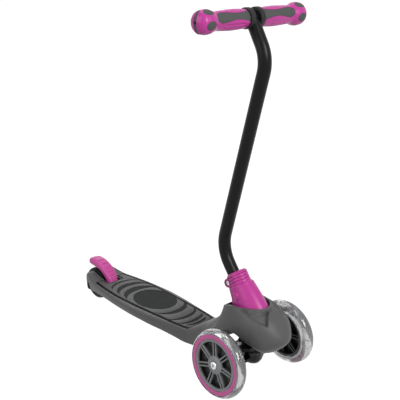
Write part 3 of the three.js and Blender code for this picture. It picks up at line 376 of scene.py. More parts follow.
def rod(radius, z0, z1, segments=48):
    return lathe([(0, z0), (radius, z0), (radius, z1), (0, z1)], segments)


def rod_pair(radius, near, far):
    """Two rods on one line, one on each side of the middle."""
    return [rod(radius, near, far), rod(radius, -far, -near)]


def pipe(outer, inner, z0, z1, segments=96):
    return lathe([(inner, z0), (outer, z0), (outer, z1), (inner, z1)], segments)


def soft_pipe(outer, inner, z0, z1, fillet, segments):
    """A ring whose four edges are rounded."""
    rows = []
    corners = [
        (inner, z0, 1, 1, 180),
        (outer, z0, -1, 1, 270),
        (outer, z1, -1, -1, 0),
        (inner, z1, 1, -1, 90),
    ]
    for r, z, dr, dz, start in corners:
        rows += arc(r + fillet * dr, z + fillet * dz, fillet, start, start + 90, 3)
    return lathe(rows, segments)


def block(x0, x1, y0, y1, z0, z1):
    verts = [(x, y, z) for x in (x0, x1) for y in (y0, y1) for z in (z0, z1)]
    faces = [
        (0, 1, 3, 2), (4, 6, 7, 5), (0, 4, 5, 1), (2, 3, 7, 6), (0, 2, 6, 4), (1, 5, 7, 3),
    ]
    return solid(verts, faces)


def prism(outline, z0, z1):
    low = [(x, y, z0) for x, y in outline]
    high = [(x, y, z1) for x, y in outline]
    return skin([low, high])


def oval_rows(half_x, half_y, segments=64):
    turns = [2 * math.pi * i / segments for i in range(segments)]
    return [(half_x * math.cos(t), half_y * math.sin(t)) for t in turns]


def placed(shape, origin, z_axis, x_hint=(1, 0, 0)):
    """Puts a shape made about Z onto a line: origin, direction of Z, hint for X."""
    z = Vector(z_axis).normalized()
    x = Vector(x_hint)
    x = (x - z * x.dot(z)).normalized()
    y = z.cross(x)
    matrix = Matrix((x, y, z)).transposed().to_4x4()
    matrix.translation = Vector(origin)
    return turned(shape, matrix)


def along_x(shape, z):
    return placed(shape, (0, 0, z), (1, 0, 0), (0, 1, 0))


def along_y(shape, at, side=1):
    """Lays a shape made about Z across the scooter, through a place (x, z)."""
    return placed(shape, (at[0], 0, at[1]), (0, side, 0))


def read(table, at):
    """A smooth curve through the rows of a table, read at a value of its first column."""
    last = len(table) - 1
    if at <= table[0][0]:
        return list(table[0][1:])
    if at >= table[last][0]:
        return list(table[last][1:])
    i = max(k for k in range(last) if table[k][0] <= at)
    step = table[i + 1][0] - table[i][0]
    t = (at - table[i][0]) / step

    def slope(k, c):
        low, high = max(k - 1, 0), min(k + 1, last)
        return (table[high][c] - table[low][c]) / (table[high][0] - table[low][0])

    made = []
    for c in range(1, len(table[0])):
        value = table[i][c]
        a, b = slope(i, c) * step, slope(i + 1, c) * step
        d = table[i + 1][c] - value
        made.append(value + t * (a + t * (3 * d - 2 * a - b + t * (a + b - 2 * d))))
    return made


def steps(start, end, size):
    """Even stations from start to end, about size apart."""
    count = max(2, round(abs(end - start) / size))
    return [start + (end - start) * i / count for i in range(count + 1)]


def smooth(t):
    """An even rise from 0 to 1 as t goes from 0 to 1."""
    t = min(max(t, 0.0), 1.0)
    return t * t * (3 - 2 * t)


def piece(shape, name, body, material, replaces, sharp=SHARP):
    """Puts a finished shape into the frame and says what it is."""
    shape.data.transform(Matrix.Scale(MM, 4) @ Matrix.Translation((FRONT_AXLE, 0, 0)))
    shape.name = name
    shape.data.name = name
    shape.data.materials.clear()
    shape.data.materials.append(material)
    shape.data.shade_smooth()
    shape.data.set_sharp_from_angle(angle=sharp)
    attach(shape, body)
    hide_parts(*replaces)


# Deck and cowl

DECK_TOP = 54.0
DECK_WALL = 3.0
BOARD_FRONT = -125.0
BOARD_POWERS = (2, 1.6)
HOLLOW_X = (-389.0, -130.0)
RIB_HALF = 1.0
RIB_FOOT = 36.0
CROSS_RIBS = (-335, -260, -185)
REAR_ARM_END = 465.0
REAR_SLOT = 15.0
BRAKE_SLOT = 16.2
BRAKE_SLOT_FRONT = 395.0
BRAKE_SLOT_REAR = 418.0
BRAKE_PIN = (-402.0, 46.0)
PIN_HOLE = 2.55
REAR_AXLE = (-455.0, 34.0)
AXLE_HOLE = 4.1
# on each side of the middle: radius, near end and far end
AXLE_BOSS = (6.0, 11.9, REAR_SLOT + 2)
AXLE_NUT_ROOM = (8.0, 22.5, 50.0)
# how far the cutting shapes run past the deck
PAST_SIDE = 60.0
PAST_TOP = 70.0
PAST_FOOT = 40.0

TREAD_TOP = 55.0
TREAD_DEPTH = 4.0
TREAD_THICK = 2.3
TREAD_REAR = 420.0
TREAD_NOTCH = 400.0
TREAD_FRONT = 136.0
TREAD_CORNER = [(-131.5, 31), (-129.8, 26)]
TREAD_PLAY = 0.3
POCKET_FLOOR = TREAD_TOP - TREAD_DEPTH
SHEET_LOW = POCKET_FLOOR + 0.12
SHEET_THICK = 1.3
ISLAND_TOP = TREAD_TOP - 0.8
EDGE_TOP = TREAD_TOP - 1.1
SLOT_WALL = 1.5
RIM_EDGE = 1.0
NOTCH_SHARE = 0.5
GROOVE = 6.0

# x, flat half width, shoulder half width and height, foot height and half width, rise
BOARD_ROWS = [
    (-467, 24, 27, 48, 24, 25, 3),
    (-462, 26, 29.5, 50, 24, 27, 7.5),
    (-450, 29, 33, 51.5, 26, 29.5, 9),
    (-437, 32.5, 36.5, 51, 28, 31.5, 5.5),
    (-421, 37.5, 40.5, 50.5, 29.5, 34, 0.8),
    (-403, 40.5, 43.8, 50.5, 31, 36, 0),
    (-382, 43.5, 47, 50.5, 31.5, 39, 0),
    (-338, 47.5, 52, 50.5, 32, 44, 0),
    (-286, 47, 54.5, 50.5, 32, 47, 0),
    (-260, 45.5, 53, 50.5, 32, 46.5, 0),
    (-235, 44, 51, 50.5, 31.5, 45.5, 0),
    (-200, 41.5, 46, 50.5, 30, 41.5, 0),
    (-170, 39.5, 42, 50.5, 28, 38.5, 0),
    (-142, 36, 38.5, 50.5, 26.5, 37, 0),
    (-125, 32, 36.5, 50, 28, 36, 0),
]

# x, crest, flat half width, half width, its height, foot height, foot half width, power
COWL_ROWS = [
    (-150, 53.9, 30, 38, 50, 26, 36, 2.35),
    (-135, 56, 28, 37.5, 49.5, 27, 36, 2.3),
    (-122, 63, 21, 37.5, 50, 28, 35.5, 2),
    (-110, 70.5, 14, 37.6, 53, 30, 35.5, 1.8),
    (-98, 77, 9, 37.8, 57, 33, 36, 1.55),
    (-87, 86, 7, 39.2, 63, 39, 37, 1.4),
    (-77, 95.5, 6.5, 41, 70, 48, 38, 1.2),
    (-70, 103, 7, 42.3, 78, 56, 39, 0.95),
    (-65.5, 111, 9, 43.3, 84, 62, 39.5, 0.8),
    (-62, 121, 13, 44, 88, 68, 40, 0.75),
    (-58, 125.5, 17, 44.6, 91, 72.5, 40.5, 0.77),
    (-50, 130, 23.5, 45.9, 95, 81.5, 41.5, 0.85),
    (-40, 135, 28.5, 47, 98.5, 91, 42.3, 0.95),
    (-28, 140.5, 33.5, 48.2, 101, 99, 42.9, 1.05),
    (-16, 142.6, 35.5, 49, 103, 101.5, 42.5, 1.15),
    (0, 144.2, 34, 49.3, 104, 100, 39.5, 1.3),
    (10, 144.8, 31, 49, 103, 94, 34, 1.5),
    (20, 145, 26, 47.5, 100, 86, 27, 1.75),
    (28, 144.6, 19, 45.5, 98, 80, 14, 2),
    (34, 143.6, 13, 44, 97.5, 74.5, 8, 2.2),
    (42, 140, 8, 41, 97, 71, 6, 2.3),
    (50, 135, 5, 37, 97, 72.5, 4, 2.35),
    (58, 127.5, 3, 30.5, 97, 77.5, 3, 2.35),
    (65, 118, 2, 23, 97, 84, 2, 2.35),
    (70.5, 109, 1, 14, 98, 90, 1, 2.35),
    (73.5, 102, 0.6, 5, 98.5, 95, 0.6, 2.35),
]

# the oval mouth that the collar stands in
RIM_CENTRE = -16.0
RIM_HALF = (44.0, 30.6)
MOUTH_HEIGHT = 137.0
MOUTH_AXIS = (-0.15, 0, 1)
# width of the lip round the mouth, and how much thicker the cowl is at its crest
LIP = 2.8
ROOF = 10.0
SCOOP_DEPTH = 8.0
SCOOP_X = (-24.0, 56.0)
SCOOP_FADES = (34.0, 5.0)
RIDGE_FADE = 5.0
PANEL_FADE = 3.0
# half width at x of the scoops' outer ridge and of the raised panel between them
SCOOP_RIDGE = [
    (-40, 33), (-20, 36), (0, 37.5), (12, 38), (24, 38), (35, 36), (44, 31.5), (50, 28),
    (54, 25),
]
PANEL_EDGE = [(36, 0), (40, 8), (43, 13), (47, 17.5), (51, 21), (54, 23)]


def ring(x, halves, levels, powers, counts, crown=0):
    """A cross section: flat top, rounded shoulder and rounded side down to the foot."""
    flat, wide, foot_wide = halves
    crest, mid, foot = levels
    half = [(x, flat * i / crown, crest) for i in range(crown)]
    half.append((x, flat, crest))
    for i in range(1, counts[0] + 1):
        turn = math.pi / 2 * i / counts[0]
        y = flat + (wide - flat) * math.sin(turn) ** (2 / powers[0])
        z = mid + (crest - mid) * max(math.cos(turn), 0) ** (2 / powers[0])
        half.append((x, y, z))
    for i in range(1, counts[1] + 1):
        turn = math.pi / 2 * i / counts[1]
        y = foot_wide + (wide - foot_wide) * max(math.cos(turn), 0) ** (2 / powers[1])
        z = mid - (mid - foot) * math.sin(turn) ** (2 / powers[1])
        half.append((x, y, z))
    return half + [(a, -y, z) for a, y, z in reversed(half)]


def board(start, end, inset, foot_drop, size=5):
    """The foot board between two stations, drawn in by a wall."""
    rings = []
    for x in steps(start, end, size):
        flat, wide, mid, foot, foot_wide, rise = read(BOARD_ROWS, x)
        halves = (flat - inset / 2, wide - inset, foot_wide - inset)
        levels = (DECK_TOP + rise - inset, mid - inset / 2, foot - foot_drop)
        rings.append(ring(x, halves, levels, BOARD_POWERS, (10, 8)))
    return skin(rings)


def cowl(xs, inset, lift, crown=0, roof=0.0):
    """The cowl over its stations, drawn in by a wall, and by a roof more at the crest."""
    rings = []
    for x in xs:
        crest, flat, wide, mid, foot, foot_wide, power = read(COWL_ROWS, x)
        top = crest - inset - roof
        halves = (
            max(flat - inset / 2, 0.2), max(wide - inset, 0.5), max(foot_wide - inset, 0.3),
        )
        levels = (top, min(mid, top - 1), foot + lift)
        rings.append(ring(x, halves, levels, (power, 2), (20 if crown else 16, 8), crown))
    return skin(rings)


def scoop(x, y):
    """Depth of the two scoops that meet the raised front panel below the cowl's lip."""
    half = abs(y)
    along = (x - RIM_CENTRE) / (RIM_HALF[0] + LIP)
    reach = math.hypot(along, half / (RIM_HALF[1] + LIP))
    below = smooth((reach - 1) * 12)
    inside = smooth((read(SCOOP_RIDGE, x)[0] - half) / RIDGE_FADE)
    beside = smooth((half - read(PANEL_EDGE, x)[0]) / PANEL_FADE)
    rise = smooth((x - SCOOP_X[0]) / SCOOP_FADES[0])
    end = smooth((SCOOP_X[1] - x) / SCOOP_FADES[1])
    return SCOOP_DEPTH * below * inside * beside * (rise * end)


def scooped(shape):
    """Sinks the scoops into the faces that look up."""
    mesh = shape.data
    moves = [vertex.normal * scoop(vertex.co.x, vertex.co.y) for vertex in mesh.vertices]
    for vertex, move in zip(mesh.vertices, moves):
        if vertex.normal.z > 0.05:
            vertex.co -= move
    return shape


# outer apex, inner apex, end x, end half width, middle y
REAR_CRESCENTS = [
    (-387.3, -383.7, -367, 33, 2.5),
    (-369.8, -358.7, -337, 37.5, 2.5),
    (-345.8, -330.7, -310, 39, 2.5),
]
FRONT_CRESCENTS = [
    (-197.7, -207.3, -230, 36.5, 2.2),
    (-169.7, -176.3, -192, 34, -1),
    (-149.2, -155.2, -165, 29.5, -1.5),
    (-138.3, -142.8, -149, 23.5, -1),
]
ELLIPSE_AT = (-272.8, 3.2)
ELLIPSE_HALF = (49, 38.8)
CRESCENT_TIP = 0.7
BOW_STEPS = 18
# degrees from a bow's middle to its ends, for the slots and for the islands in them
SLOT_REACH = 88
ISLAND_REACH = 78


def crescent(row, grow):
    """Outline between an outer and an inner bow that meet in two blunt tips."""
    outer, inner, end_x, end_y, middle = row
    sign = math.copysign(1, outer - inner)
    reach = math.radians(SLOT_REACH if grow > 0 else ISLAND_REACH)

    def bow(apex, offset, tip):
        rows = []
        for i in range(-BOW_STEPS, BOW_STEPS + 1):
            turn = reach * i / BOW_STEPS
            x = end_x + (apex - end_x) * math.cos(turn) + offset
            rows.append((x, middle + tip * math.sin(turn)))
        return rows

    out = bow(outer, sign * (CRESCENT_TIP + grow), end_y + grow)
    back = bow(inner, -sign * (CRESCENT_TIP + grow), end_y - grow)
    return out + back[::-1]


def tread_outline(inset):
    """Outline of the pocket in the deck, or of a sheet that lies in it with an inset."""
    play = inset * NOTCH_SHARE
    xs = steps(-TREAD_REAR, -TREAD_FRONT, 8)
    xs[0] += play
    half = [(x, read(BOARD_ROWS, x)[0] - RIM_EDGE - inset) for x in xs]
    half += [(x - inset, y - inset) for x, y in TREAD_CORNER]
    notch = BRAKE_SLOT + SLOT_WALL + play
    end = -TREAD_NOTCH + play
    rear = [(xs[0], -notch), (end, -notch), (end, notch), (xs[0], notch)]
    return half + [(x, -y) for x, y in reversed(half)] + rear


def pattern(grow, z0, z1):
    """The ellipse and the crescents of the tread, larger by grow all round."""
    rows = REAR_CRESCENTS + FRONT_CRESCENTS
    shapes = [prism(crescent(row, grow), z0, z1) for row in rows]
    disc = prism(oval_rows(ELLIPSE_HALF[0] + grow, ELLIPSE_HALF[1] + grow, 96), z0, z1)
    return shapes + [moved(disc, *ELLIPSE_AT)]


# stations of the cowl: start, end and distance of each stretch
OUTER_RUNS = [(-150, -77, 4), (-77, -58, 1.5), (-58, -16, 3), (-16, 60, 1.6), (60, 73.5, 1.5)]
OUTER_XS = sorted({x for run in OUTER_RUNS for x in steps(*run)})
INNER_XS = steps(-150, 63, 3)
# the hollow of the neck, and the stretch where the cowl is open below
NECK_X = (-127, -60)
OPEN_TO = 31


def deck_ribs():
    """One long rib and its cross ribs, kept inside the board."""
    top = POCKET_FLOOR - 1
    ribs = [block(-392, -140, -RIB_HALF, RIB_HALF, RIB_FOOT, top)]
    for x in CROSS_RIBS:
        ends = (x - RIB_HALF, x + RIB_HALF, -PAST_SIDE, PAST_SIDE)
        ribs.append(block(*ends, RIB_FOOT + 2, top))
    return common(joined(*ribs), board(-400, HOLLOW_X[1], 1, 0, 10))


def make_deck():
    outside = scooped(cowl(OUTER_XS, 0, 0, 12))
    shell = joined(board(-REAR_ARM_END, BOARD_FRONT, 0, 0), outside)
    hollow = cut(
        board(*HOLLOW_X, DECK_WALL + 1, PAST_FOOT, 8),
        block(-400, -120, -PAST_SIDE, PAST_SIDE, POCKET_FLOOR - DECK_WALL, PAST_TOP),
    )
    neck = [x for x in INNER_XS if NECK_X[0] < x < NECK_X[1]]
    below = [x for x in INNER_XS if x <= OPEN_TO]
    mouth = prism(oval_rows(*RIM_HALF, 96), -20, 40)
    cut(
        shell,
        hollow,
        cowl(neck, DECK_WALL, DECK_WALL),
        cowl(INNER_XS, DECK_WALL + 1, DECK_WALL, 0, ROOF),
        cowl(below, DECK_WALL + 1, -PAST_FOOT, 0, ROOF),
        placed(mouth, (RIM_CENTRE, 0, MOUTH_HEIGHT), MOUTH_AXIS),
        prism(tread_outline(0), POCKET_FLOOR, TREAD_TOP + 7),
    )
    joined(shell, deck_ribs())
    cut(
        shell,
        block(-480, -BRAKE_SLOT_REAR, -REAR_SLOT, REAR_SLOT, 0, PAST_TOP),
        block(-BRAKE_SLOT_REAR - 1, -BRAKE_SLOT_FRONT, -BRAKE_SLOT, BRAKE_SLOT, 37, PAST_TOP),
        along_y(rod(PIN_HOLE, -25, 25, 24), BRAKE_PIN),
    )
    joined(shell, *[along_y(boss, REAR_AXLE) for boss in rod_pair(*AXLE_BOSS)])
    cut(
        shell,
        along_y(rod(AXLE_HOLE, -50, 50), REAR_AXLE),
        *[along_y(room, REAR_AXLE) for room in rod_pair(*AXLE_NUT_ROOM)],
    )
    piece(shell, "deck_shell", "deck_body", deck_grey, ["deck"], DECK_SHARP)


def make_tread():
    sheet = prism(tread_outline(TREAD_PLAY), SHEET_LOW, SHEET_LOW + SHEET_THICK)
    joined(sheet, *pattern(0, SHEET_LOW, ISLAND_TOP))
    piece(sheet, "tread_underlay", "deck_body", soft_dark, ["grip_underlay"])
    # the underlay's lip in the groove round the plate; its near black colour is painted groove
    # shade
    edge = cut(
        prism(tread_outline(TREAD_PLAY), SHEET_LOW + SHEET_THICK + 0.1, EDGE_TOP),
        prism(tread_outline(GROOVE - 0.25), SHEET_LOW, TREAD_TOP + 1),
    )
    piece(edge, "tread_edge", "deck_body", edge_black_groove_shade, ["grip_underlay"])
    low = TREAD_TOP - TREAD_THICK
    plate = prism(tread_outline(GROOVE), low, TREAD_TOP)
    cut(plate, *pattern(0.4, low - 1, TREAD_TOP + 1))
    rounded(plate, 0.6, 2, 50)
    piece(plate, "tread_top", "deck_body", tread_grey, ["tread_plate"])


# Collar; its band, ear, bore and button are drawn in a frame whose Z runs up the tube

COLLAR_TILT = math.radians(36)
COLLAR_TOP = (-48.3, 185.9)
UP = (-math.sin(COLLAR_TILT), 0, math.cos(COLLAR_TILT))
AHEAD = (math.cos(COLLAR_TILT), 0, math.sin(COLLAR_TILT))
LEAN_HEIGHT = 111.0
TUBE_RADIUS = 11.1
TUBE_OFFSET = 4.0
BAND_SHARE = 0.92
BAND_AHEAD = 2.6
RIM_HEIGHT = 138.0
# height above the rim, middle, tilt in degrees, half length and half width
SKIRT_FOOT = [(-17, -8, 4, 24, 19), (-9, -10, 7, 33, 23), (-3, -10.6, 7.8, 35.6, 24.4)]
SKIRT_ROWS = [
    (0, -11, 8.5, 36, 24.5),
    (6, -14.5, 11, 33.5, 23.8),
    (14, -20, 17, 30, 22.8),
    (24, -28.1, 26.5, 26.2, 21.7),
    (30.85, -33, 28.4, 23.9, 21),
]
BUTTON_AT = (2.0, -38.5)
BUTTON_HALF = (5.2, 8.2)
BUTTON_ROWS = [(0, 18.8), (1, 18.8), (1, 22.2), (0.93, 22.8), (0.7, 23.1), (0, 23.2)]
CLAMP_AT = (-18.4, -12.0)
EAR_RADIUS = 8.0
EAR_HALF = 11.0
CLAMP_BOLT_ROWS = [
    (0, -10.8), (2.4, -10.8), (2.4, 7.25), (4.4, 7.25), (4.4, 9.2), (4.1, 9.8), (3.5, 10.1),
    (0, 10.1),
]
TUBE_DEPTH = 54.0
SLIT_HALF = 1.2
SLIT_DEPTH = 24.0

# below the skirt: the stem on its hinge, the lever and the wings that the springs push
STEM_X = (-12.6, 13.6)
STEM_HALF = 11.0
STEM_TOP = 124.0
HINGE_HOLE = 4.2
LEVER_LENGTH = 48.0
LEVER_HALF = (6.0, 2.9)
LEVER_END = 3.0
WING_X = (-5.0, 9.0)
WING_Z = (92.0, 97.0)
WING_REACH = 27.0
WING_ROOT = 8.0
CHEEK_ROOMS = ((-18.7, -12.8), (13.8, 19.7))


def in_collar(shape):
    return placed(shape, (COLLAR_TOP[0], 0, COLLAR_TOP[1]), UP, AHEAD)


def collar_point(x, z):
    return (
        COLLAR_TOP[0] + x * AHEAD[0] + z * UP[0],
        COLLAR_TOP[1] + x * AHEAD[2] + z * UP[2],
    )


def skirt_ring(x, z, degrees, half_length, half_width):
    """An oval about (x, z) that tilts back by the degrees."""
    tilt = math.radians(degrees)
    rows = []
    for a, y in oval_rows(half_length, half_width, 96):
        rows.append((x + a * math.cos(tilt), y, z + a * math.sin(tilt)))
    return rows


def collar_band():
    """Outline of the top of the collar: base, three ribs and a domed crown."""
    rows = [(0, -28.5), (23, -28.5), (23.6, -28), (23.6, -26.4), (23.3, -25.6), (20.6, -22.7)]
    rib = [(19.6, 0), (20, 0.5), (20, 3.4), (19.7, 4.2), (18.6, 4.6), (18.4, 5)]
    for i in range(3):
        rows += [(r, -21.6 + i * 5.3 + rise) for r, rise in rib]
    rows += arc(20 - 5.4, -5.4, 5.4, 0, 90, 10)
    return rows + [(0, 0)]


def collar_stem():
    """Everything of the collar that hangs inside the cowl."""
    foot = LEAN_HEIGHT - LEVER_LENGTH
    long, wide = LEVER_HALF
    return [
        block(*STEM_X, -STEM_HALF, STEM_HALF, LEAN_HEIGHT, STEM_TOP),
        along_x(rod(STEM_HALF, *STEM_X), LEAN_HEIGHT),
        block(-long, long, -wide, wide, foot, LEAN_HEIGHT),
        along_x(rod(LEVER_END, -long, long), foot),
        block(*WING_X, -WING_REACH, WING_REACH, *WING_Z),
        block(*WING_X, -WING_ROOT, WING_ROOT, WING_Z[0], LEAN_HEIGHT),
    ]


def make_collar():
    rows = list(SKIRT_FOOT)
    rows += [(h, *read(SKIRT_ROWS, h)) for h in steps(0, SKIRT_ROWS[-1][0], 2)]
    collar = skin([skirt_ring(x, RIM_HEIGHT + h, tilt, a, b) for h, x, tilt, a, b in rows])
    band = turned(lathe(collar_band(), 96), Matrix.Diagonal((1, BAND_SHARE, 1, 1)))
    joined(collar, in_collar(moved(band, BAND_AHEAD)))
    ear = rounded(along_y(rod(EAR_RADIUS, -EAR_HALF, EAR_HALF), CLAMP_AT), 0.8)
    low, high = CLAMP_AT[1] - EAR_RADIUS, CLAMP_AT[1] + EAR_RADIUS
    root = block(CLAMP_AT[0], -8, -EAR_HALF, EAR_HALF, low, high)
    joined(collar, in_collar(ear), in_collar(root))
    joined(collar, *collar_stem())
    rooms = [block(*room, -20, 20, 80, 120.1) for room in CHEEK_ROOMS]
    bore = moved(rod(TUBE_RADIUS + 0.3, -TUBE_DEPTH - 0.5, 5), -TUBE_OFFSET)
    slit = block(-40, -TUBE_OFFSET, -SLIT_HALF, SLIT_HALF, -SLIT_DEPTH, 5)
    bolt_hole = joined(rod(2.6, -20, 20), *rod_pair(4.9, 7, 20))
    pocket = prism(oval_rows(BUTTON_HALF[0] + 0.5, BUTTON_HALF[1] + 0.5), 15, 40)
    cut(
        collar,
        along_x(rod(HINGE_HOLE, -40, 40), LEAN_HEIGHT),
        *rooms,
        in_collar(bore),
        in_collar(slit),
        in_collar(along_y(bolt_hole, CLAMP_AT)),
        in_collar(along_y(pocket, BUTTON_AT, -1)),
    )
    piece(collar, "collar_body", "column", pink, ["collar"])


def make_button():
    button = turned(lathe(BUTTON_ROWS, 64), Matrix.Diagonal((*BUTTON_HALF, 1, 1)))
    button = in_collar(along_y(button, BUTTON_AT, -1))
    piece(button, "button_cap", "button", button_pink, ["release_button"])


def make_clamp_bolt():
    bolt = cut(lathe(CLAMP_BOLT_ROWS, 48), rod(2.2, 8.3, 12, 6))
    bolt = in_collar(along_y(bolt, CLAMP_AT, -1))
    piece(bolt, "collar_bolt", "column", steel, ["clamp_bolt"])


# Column and grips

BAR = (-20.9, 621.0)
BAR_RADIUS = 11.0
BAR_HALF = 96.0
UPPER_BEND = (13.5, 561.3)
MIDDLE_RUN = (-0.2685, -0.9633)
BEND_RADII = (0, 58, 62, 0)
TUBE_SIDES = 64
TUBE_STEP = 8.0


def column_path():
    """Middle line of the tube from the crossbar down into the collar, as (x, z)."""
    start = Vector(collar_point(-TUBE_OFFSET, -TUBE_DEPTH))
    upper = Vector(UPPER_BEND)
    axis = Vector((UP[0], UP[2]))
    slope = Vector(MIDDLE_RUN)
    gap = upper - start
    det = axis.x * -slope.y + axis.y * slope.x
    t = (gap.x * -slope.y + gap.y * slope.x) / det
    corners = [Vector(BAR), upper, start + axis * t, start]
    points = []
    for i, (here, radius) in enumerate(zip(corners, BEND_RADII)):
        if not radius:
            points.append(tuple(here))
            continue
        a = (corners[i - 1] - here).normalized()
        b = (corners[i + 1] - here).normalized()
        half = a.angle(b) / 2
        centre = here + (a + b).normalized() * (radius / math.sin(half))
        first = here + a * (radius / math.tan(half)) - centre
        last = here + b * (radius / math.tan(half)) - centre
        start_turn = math.atan2(first.y, first.x)
        turn = math.atan2(last.y, last.x) - start_turn
        turn -= 2 * math.pi * round(turn / (2 * math.pi))
        for k in range(25):
            at = start_turn + turn * k / 24
            points.append((centre.x + radius * math.cos(at), centre.y + radius * math.sin(at)))
    return points


def sweep(points, radius):
    """A round bar along a path in the middle plane."""
    rings = []
    for i, (x, z) in enumerate(points):
        before = Vector(points[max(i - 1, 0)])
        after = Vector(points[min(i + 1, len(points) - 1)])
        along = (after - before).normalized()
        rows = []
        for a, y in oval_rows(radius, radius, TUBE_SIDES):
            rows.append((x + a * along.y, y, z - a * along.x))
        rings.append(rows)
    return skin(rings)


# distance from the middle of the crossbar and radius, or half width of the strip
GRIP_ROWS = [
    (16.2, 14.1), (18.5, 14.7), (28, 15.5), (48, 16.1), (71, 15.2), (83, 14.8),
    (89, 16.6), (94.5, 18.4), (100.5, 19), (106.5, 18), (112.3, 14.8), (116.2, 10.2),
    (118.5, 3),
]
STRIP_ROWS = [(5, 9.5), (14, 9), (28, 6.4), (46, 5), (65, 7.4), (78.5, 8), (84.5, 4.5)]
STRIP_TURN = 114.0
STRIP_END = 82.5
STRIP_CORNER = 3.0
CORE_RADIUS = 13.1
CORE_END = 113.0
BALL_AT = 100.5
DOME_FROM = 106.5
DOME_LENGTH = 12.4
SPOTS = 5
SPOT_HALF = (9.2, 6.8)
SPOT_TURN = 76
BAND_FROM = 109.5
BAND_LENGTH = 18.0
BAND_HALF = 2.4
# finger hollows: degrees round the grip, width in degrees, depth, stretch and its fade
FLUTE_TURNS = (62, 44, 26)
FLUTE_WIDTH = 6.0
FLUTE_DEPTH = 1.25
FLUTE_Y = (20.0, 82.0)
FLUTE_FADE = 14.0
GRIP_CUT = 30.0
FLANGE_RADIUS = 16.6
FLANGE_FROM = 6.0
FLANGE_TO = 15.6


def grip_radius(y):
    return read(GRIP_ROWS, y)[0]


def grip_rows(inset):
    """Rows of the grip's outside, smooth from the flange to the ball's end."""
    stations = steps(GRIP_ROWS[0][0], DOME_FROM, 1.5)
    rows = [(grip_radius(y) - inset, y) for y in stations]
    radius = grip_radius(DOME_FROM)
    for k in range(1, 17):
        turn = math.pi / 2 * k / 16
        r = radius * math.cos(turn) - (inset if k < 16 else 0)
        rows.append((max(r, 0.0), DOME_FROM + (DOME_LENGTH - inset) * math.sin(turn)))
    return [(0, rows[0][1])] + rows


def facing(shape, degrees):
    """Turns a shape that looks along Z to look out of the grip at an angle."""
    turn = math.radians(degrees)
    return placed(shape, (0, 0, 0), (math.sin(turn), math.cos(turn), 0), (0, 0, 1))


def strip_outline(grow):
    """The grey strip along the grip, with a rounded end towards the ball."""
    half = []
    for y in steps(STRIP_ROWS[0][0], STRIP_END, 3):
        half.append((y, read(STRIP_ROWS, y)[0] + grow))
    end = read(STRIP_ROWS, STRIP_END)[0] + grow
    for k in range(1, 7):
        turn = math.pi / 2 * k / 6
        y = STRIP_END + (STRIP_CORNER + grow) * math.sin(turn)
        half.append((y, end - STRIP_CORNER + STRIP_CORNER * math.cos(turn)))
    return half + [(y, -w) for y, w in reversed(half)]


def windows(grow):
    """The strip and the spots of the ball, larger by grow all round."""
    shapes = [facing(prism(strip_outline(grow), 9, GRIP_CUT), STRIP_TURN)]
    spot_rows = oval_rows(SPOT_HALF[0] + grow, SPOT_HALF[1] + grow, 40)
    for i in range(SPOTS):
        spot = moved(prism(spot_rows, 11, GRIP_CUT), BALL_AT)
        shapes.append(facing(spot, SPOT_TURN + 360 * i / SPOTS))
    return shapes


def end_band(grow):
    """The narrow grey band across the ball's end."""
    half = BAND_HALF + grow
    end = BAND_FROM + BAND_LENGTH
    return block(-half, half, -GRIP_CUT, GRIP_CUT, BAND_FROM - grow, end)


def fluted(r, y, turn):
    """Three long hollows under the strip, where the fingers close."""
    if r < 8 or y > 88:
        return r
    degrees = math.degrees(turn) % 360
    run = smooth((y - FLUTE_Y[0]) / FLUTE_FADE) * smooth((FLUTE_Y[1] - y) / FLUTE_FADE)
    deep = 0.0
    for middle in FLUTE_TURNS:
        across = (degrees - middle) / FLUTE_WIDTH
        deep += math.exp(-across * across)
    return r - FLUTE_DEPTH * run * deep


def grip_shell():
    shell = lathe(grip_rows(0), 144, fluted)
    room = rod(CORE_RADIUS + 0.25, 0, CORE_END + 0.4, 64)
    return cut(shell, room, *windows(0.3), end_band(0.3))


def grip_core():
    sleeve = rod(CORE_RADIUS, FLANGE_FROM + 1, CORE_END, 64)
    raised = common(lathe(grip_rows(0.35), 96), joined(*windows(0), end_band(0)))
    core = joined(sleeve, raised)
    cut(core, rod(GRIP_CUT, 0, FLANGE_TO + 0.1))
    return cut(core, rod(BAR_RADIUS + 0.35, 0, BAR_HALF + 1, 64), rod(2.4, 90, 192, 32))


def grip_drum():
    bore = BAR_RADIUS + 0.25
    edge = [(FLANGE_RADIUS - 1.2, 0), (FLANGE_RADIUS - 0.35, 0.35), (FLANGE_RADIUS, 1.2)]
    rows = [(bore, FLANGE_FROM)]
    rows += [(r, FLANGE_FROM + z) for r, z in edge]
    rows += [(r, FLANGE_TO - z) for r, z in reversed(edge)]
    return lathe(rows + [(bore, FLANGE_TO)], 96)


def make_grips():
    shell, core, drum = grip_shell(), grip_core(), grip_drum()
    path = column_path()
    aim = (path[1][0] - path[0][0], 0, path[1][1] - path[0][1])
    for name, side in (("left", 1), ("right", -1)):
        mirror = Matrix.Scale(side, 4, (0, 1, 0))
        for shape, label, material, slot in (
            (shell, "grip_shell_", pink, "pink"),
            (core, "grip_core_", grip_grey, "grip_grey"),
            (drum, "grip_drum_", drum_black, "grip_grey"),
        ):
            made = turned(along_y(copied(shape), BAR), mirror)
            if shape is not shell:
                saddle = rod(TUBE_RADIUS + 0.45, 0, 40, 64)
                cut(made, placed(saddle, (BAR[0], 0, BAR[1]), aim, (0, 1, 0)))
            node = label.replace("drum", "core") + name
            piece(made, "skin_" + label + name, "column", material, [node])
    for shape in (shell, core, drum):
        bpy.data.objects.remove(shape)


def dense(path):
    """The same path with the long straight runs divided."""
    made = []
    for (x, z), (nx, nz) in zip(path, path[1:]):
        parts = max(1, round(math.hypot(nx - x, nz - z) / TUBE_STEP))
        for k in range(parts):
            made.append((x + (nx - x) * k / parts, z + (nz - z) * k / parts))
    return made + [path[-1]]


